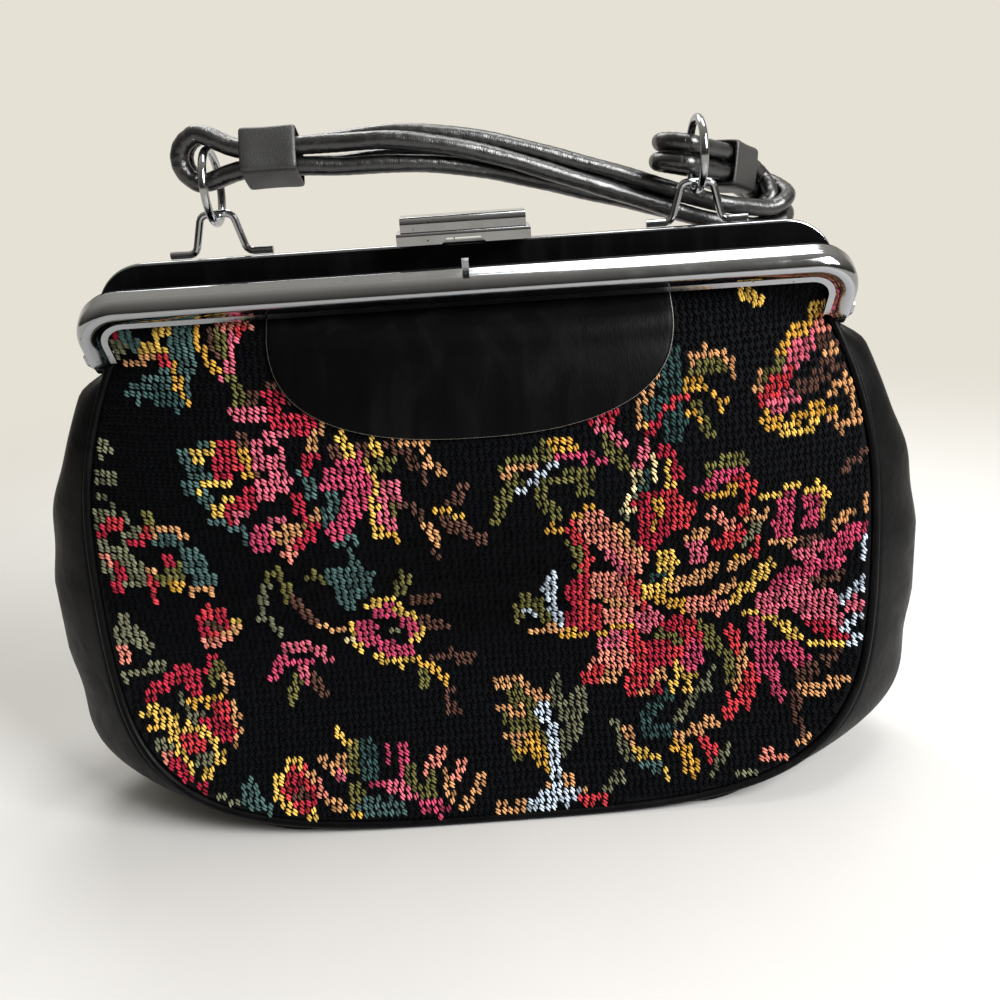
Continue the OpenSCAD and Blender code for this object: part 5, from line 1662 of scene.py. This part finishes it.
@dataclass
class Studio:
    """Camera, light and floor.

    Attributes:
        eye: Where the camera stands, in mm.
        focal_px: Focal length in pixels of the square picture.
        lamps: Name, place and aim in metres, side in metres and power in watts of each lamp.
    """

    eye: tuple = (3.8, -379.4, 257.3)
    focal_px: float = 1003.0
    picture_px: float = 1000.0
    sensor: float = 36.0
    tilt: float = 20.0
    turn: float = 0.44
    roll: float = -3.86
    floor_half: float = 12.0
    wall: str = "#E6E1D5"
    paper: tuple[str, str] = ("#C6C5C3", "#CCCBC9")
    lamps: tuple = (("top_softbox", (0.28, 0.16, 1.05), (0, 0, 0.15), 0.44, 4.4),
                    ("front_softbox", (1.0, -0.75, 0.95), (0, 0, 0.12), 0.75, 38.0),
                    ("back_softbox", (-0.2, 0.62, 1.0), (0, 0, 0.2), 0.5, 5.0))

    def camera(self) -> None:
        """Sets up the camera at the photograph's angle."""
        tilt, turn, roll = (math.radians(a) for a in (self.tilt, self.turn, self.roll))
        ahead = np.array((math.sin(turn), math.cos(turn), 0.0))
        forward = Vector(ahead * math.cos(tilt) - UP * math.sin(tilt))
        right = Vector((math.cos(turn), -math.sin(turn), 0.0))
        up = right.cross(forward)
        level = right * math.cos(roll) + up * math.sin(roll)
        upright = up * math.cos(roll) - right * math.sin(roll)
        data = bpy.data.cameras.new("camera")
        data.sensor_width = self.sensor
        data.lens = self.sensor * self.focal_px / self.picture_px
        data.clip_start = 0.01
        camera = bpy.data.objects.new("camera", data)
        place = Matrix((level, upright, -forward)).transposed().to_4x4()
        place.translation = Vector(self.eye) * MM
        camera.matrix_world = place
        bpy.context.collection.objects.link(camera)
        bpy.context.scene.camera = camera

    def lamp(self, name: str, place: tuple, aim: tuple, size: float, power: float) -> None:
        """Adds one soft lamp.

        Args:
            name: Its name.
            place: Where it stands, in metres.
            aim: What it looks at.
            size: Its side in metres.
            power: Its power in watts.
        """
        data = bpy.data.lights.new(name, "AREA")
        data.size = size
        data.energy = power
        lamp = bpy.data.objects.new(name, data)
        lamp.location = place
        lamp.rotation_euler = (Vector(aim) - Vector(place)).to_track_quat("-Z", "Y").to_euler()
        bpy.context.collection.objects.link(lamp)

    def world(self) -> None:
        """Sets a room that is bright above and behind, dim in front, and pale to the camera."""
        world = bpy.data.worlds.new("studio")
        bpy.context.scene.world = world
        world.use_nodes = True
        tree = world.node_tree
        tree.nodes.clear()
        path = add_node(tree, "ShaderNodeLightPath")
        place = add_node(tree, "ShaderNodeTexCoord")
        way = add_node(tree, "ShaderNodeSeparateXYZ", {"Vector": place.outputs["Generated"]})
        rise = add_node(tree, "ShaderNodeMapRange", {"Value": way.outputs["Z"], "From Min": 0.0,
                                                     "From Max": 0.9, "To Min": 0.06, "To Max": 0.95})
        behind = add_node(tree, "ShaderNodeMapRange", {"Value": way.outputs["Y"], "From Min": -0.6,
                                                       "From Max": 0.5, "To Min": 0.4, "To Max": 1.0})
        room = add_node(tree, "ShaderNodeMath", {0: rise.outputs["Result"], 1: behind.outputs["Result"]},
                        operation="MULTIPLY")
        seen = add_node(tree, "ShaderNodeMath", {0: path.outputs["Is Camera Ray"],
                                                 1: path.outputs["Is Transmission Ray"]},
                        operation="MAXIMUM")
        wall = add_node(tree, "ShaderNodeMapRange", {"Value": way.outputs["Y"], "From Min": 0.3,
                                                     "From Max": 0.8})
        mirrored = add_node(tree, "ShaderNodeMath", {0: path.outputs["Is Glossy Ray"],
                                                     1: wall.outputs["Result"]}, operation="MULTIPLY")
        shown = add_node(tree, "ShaderNodeMath", {0: seen.outputs["Value"], 1: mirrored.outputs["Value"]},
                         operation="MAXIMUM")
        level = add_node(tree, "ShaderNodeMath", {0: shown.outputs["Value"], 1: room.outputs["Value"]},
                         operation="MAXIMUM")
        shine = add_node(tree, "ShaderNodeBackground", {"Color": linear(self.wall),
                                                        "Strength": level.outputs["Value"]})
        add_node(tree, "ShaderNodeOutputWorld", {"Surface": shine.outputs["Background"]})

    def floor(self) -> None:
        """Lays a pale floor."""
        material = bpy.data.materials.new("paper_matt_white")
        material.use_nodes = True
        tree = material.node_tree
        shader = tree.nodes["Principled BSDF"]
        place = add_node(tree, "ShaderNodeTexCoord")
        pulp = add_node(tree, "ShaderNodeTexNoise", {"Vector": place.outputs["Object"],
                                                     "Scale": per_mm(60.0)})
        shade = add_node(tree, "ShaderNodeMix", {"Factor": pulp.outputs["Fac"], 6: linear(self.paper[0]),
                                                 7: linear(self.paper[1])}, data_type="RGBA")
        tree.links.new(shade.outputs[2], shader.inputs["Base Color"])
        shader.inputs["Roughness"].default_value = 0.6
        away = add_node(tree, "ShaderNodeVectorMath", {0: place.outputs["Object"]}, operation="LENGTH")
        far = add_node(tree, "ShaderNodeMapRange", {"Value": away.outputs["Value"], "From Min": 0.3,
                                                    "From Max": 0.9}, interpolation_type="SMOOTHSTEP")
        path = add_node(tree, "ShaderNodeLightPath")
        looked = add_node(tree, "ShaderNodeMath", {0: path.outputs["Is Camera Ray"],
                                                   1: path.outputs["Is Glossy Ray"]}, operation="MAXIMUM")
        seen = add_node(tree, "ShaderNodeMath", {0: looked.outputs["Value"], 1: far.outputs["Result"]},
                        operation="MULTIPLY")
        glow = add_node(tree, "ShaderNodeEmission", {"Color": linear(self.wall), "Strength": 1.0})
        mixed = add_node(tree, "ShaderNodeMixShader", {0: seen.outputs["Value"], 1: shader.outputs["BSDF"],
                                                       2: glow.outputs["Emission"]})
        tree.links.new(mixed.outputs["Shader"], tree.nodes["Material Output"].inputs["Surface"])
        h = self.floor_half
        mesh = bpy.data.meshes.new("studio_floor")
        mesh.from_pydata([(-h, -h, 0), (h, -h, 0), (h, h, 0), (-h, h, 0)], [], [(0, 1, 2, 3)])
        mesh.materials.append(material)
        floor = bpy.data.objects.new("studio_floor", mesh)
        bpy.context.collection.objects.link(floor)

    def set_up(self) -> None:
        """Sets up camera, light and floor."""
        self.camera()
        self.world()
        self.floor()
        for lamp in self.lamps:
            self.lamp(*lamp)
        bpy.context.scene.view_settings.view_transform = "Standard"


def main() -> None:
    """Builds the bag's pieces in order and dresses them."""
    logging.basicConfig(level=logging.INFO, format="%(message)s")
    Studio().set_up()
    chrome = WornChrome().material()
    steel = WornChrome(name="steel_wire_drawn", colour="#A9ACB0", gloss=(0.25, 0.4)).material()
    vinyl = CalenderedVinyl().material()
    apron_vinyl = CalenderedVinyl(name="vinyl_leathercloth_brushed", stretch=(1.0, 1.0, 0.15),
                                  grain_mm=0.8, crease=0.1, shine=0.06).material()
    cord_vinyl = CalenderedVinyl(name="vinyl_cord_covered", grain_mm=0.6, crease_mm=5.0,
                                 rib_mm=0.9, shine=0.9, gloss=(0.27, 0.38)).material()
    lining = CottonCloth(name="rayon_lining_woven", colour="#17171B").material()
    ground = CottonCloth().material()
    keeper_vinyl = CalenderedVinyl(name="vinyl_leathercloth_linen_grain", grain_mm=0.7, emboss=0.3,
                                   crease=0.06, shine=1.0, gloss=(0.48, 0.58)).material()
    handle = Handle()
    handle.cords(cord_vinyl)
    handle.keepers(keeper_vinyl)
    bag = Bag()
    bag.faces(WoolYarn().material(), ground)
    bag.welts(vinyl)
    bag.gussets(vinyl, lining)
    bag.apron(apron_vinyl, CutVinyl().material())
    bag.lining(lining)
    bag.bottom(vinyl)
    FrameRoll().roll(chrome)
    fittings = Fittings()
    fittings.dress(fittings.chromed, chrome)
    fittings.dress(fittings.steel, steel)
    fittings.dress(fittings.faced, apron_vinyl)
    fittings.dress(fittings.boards, GreyBoard().material())


if __name__ == "__main__":
    main()
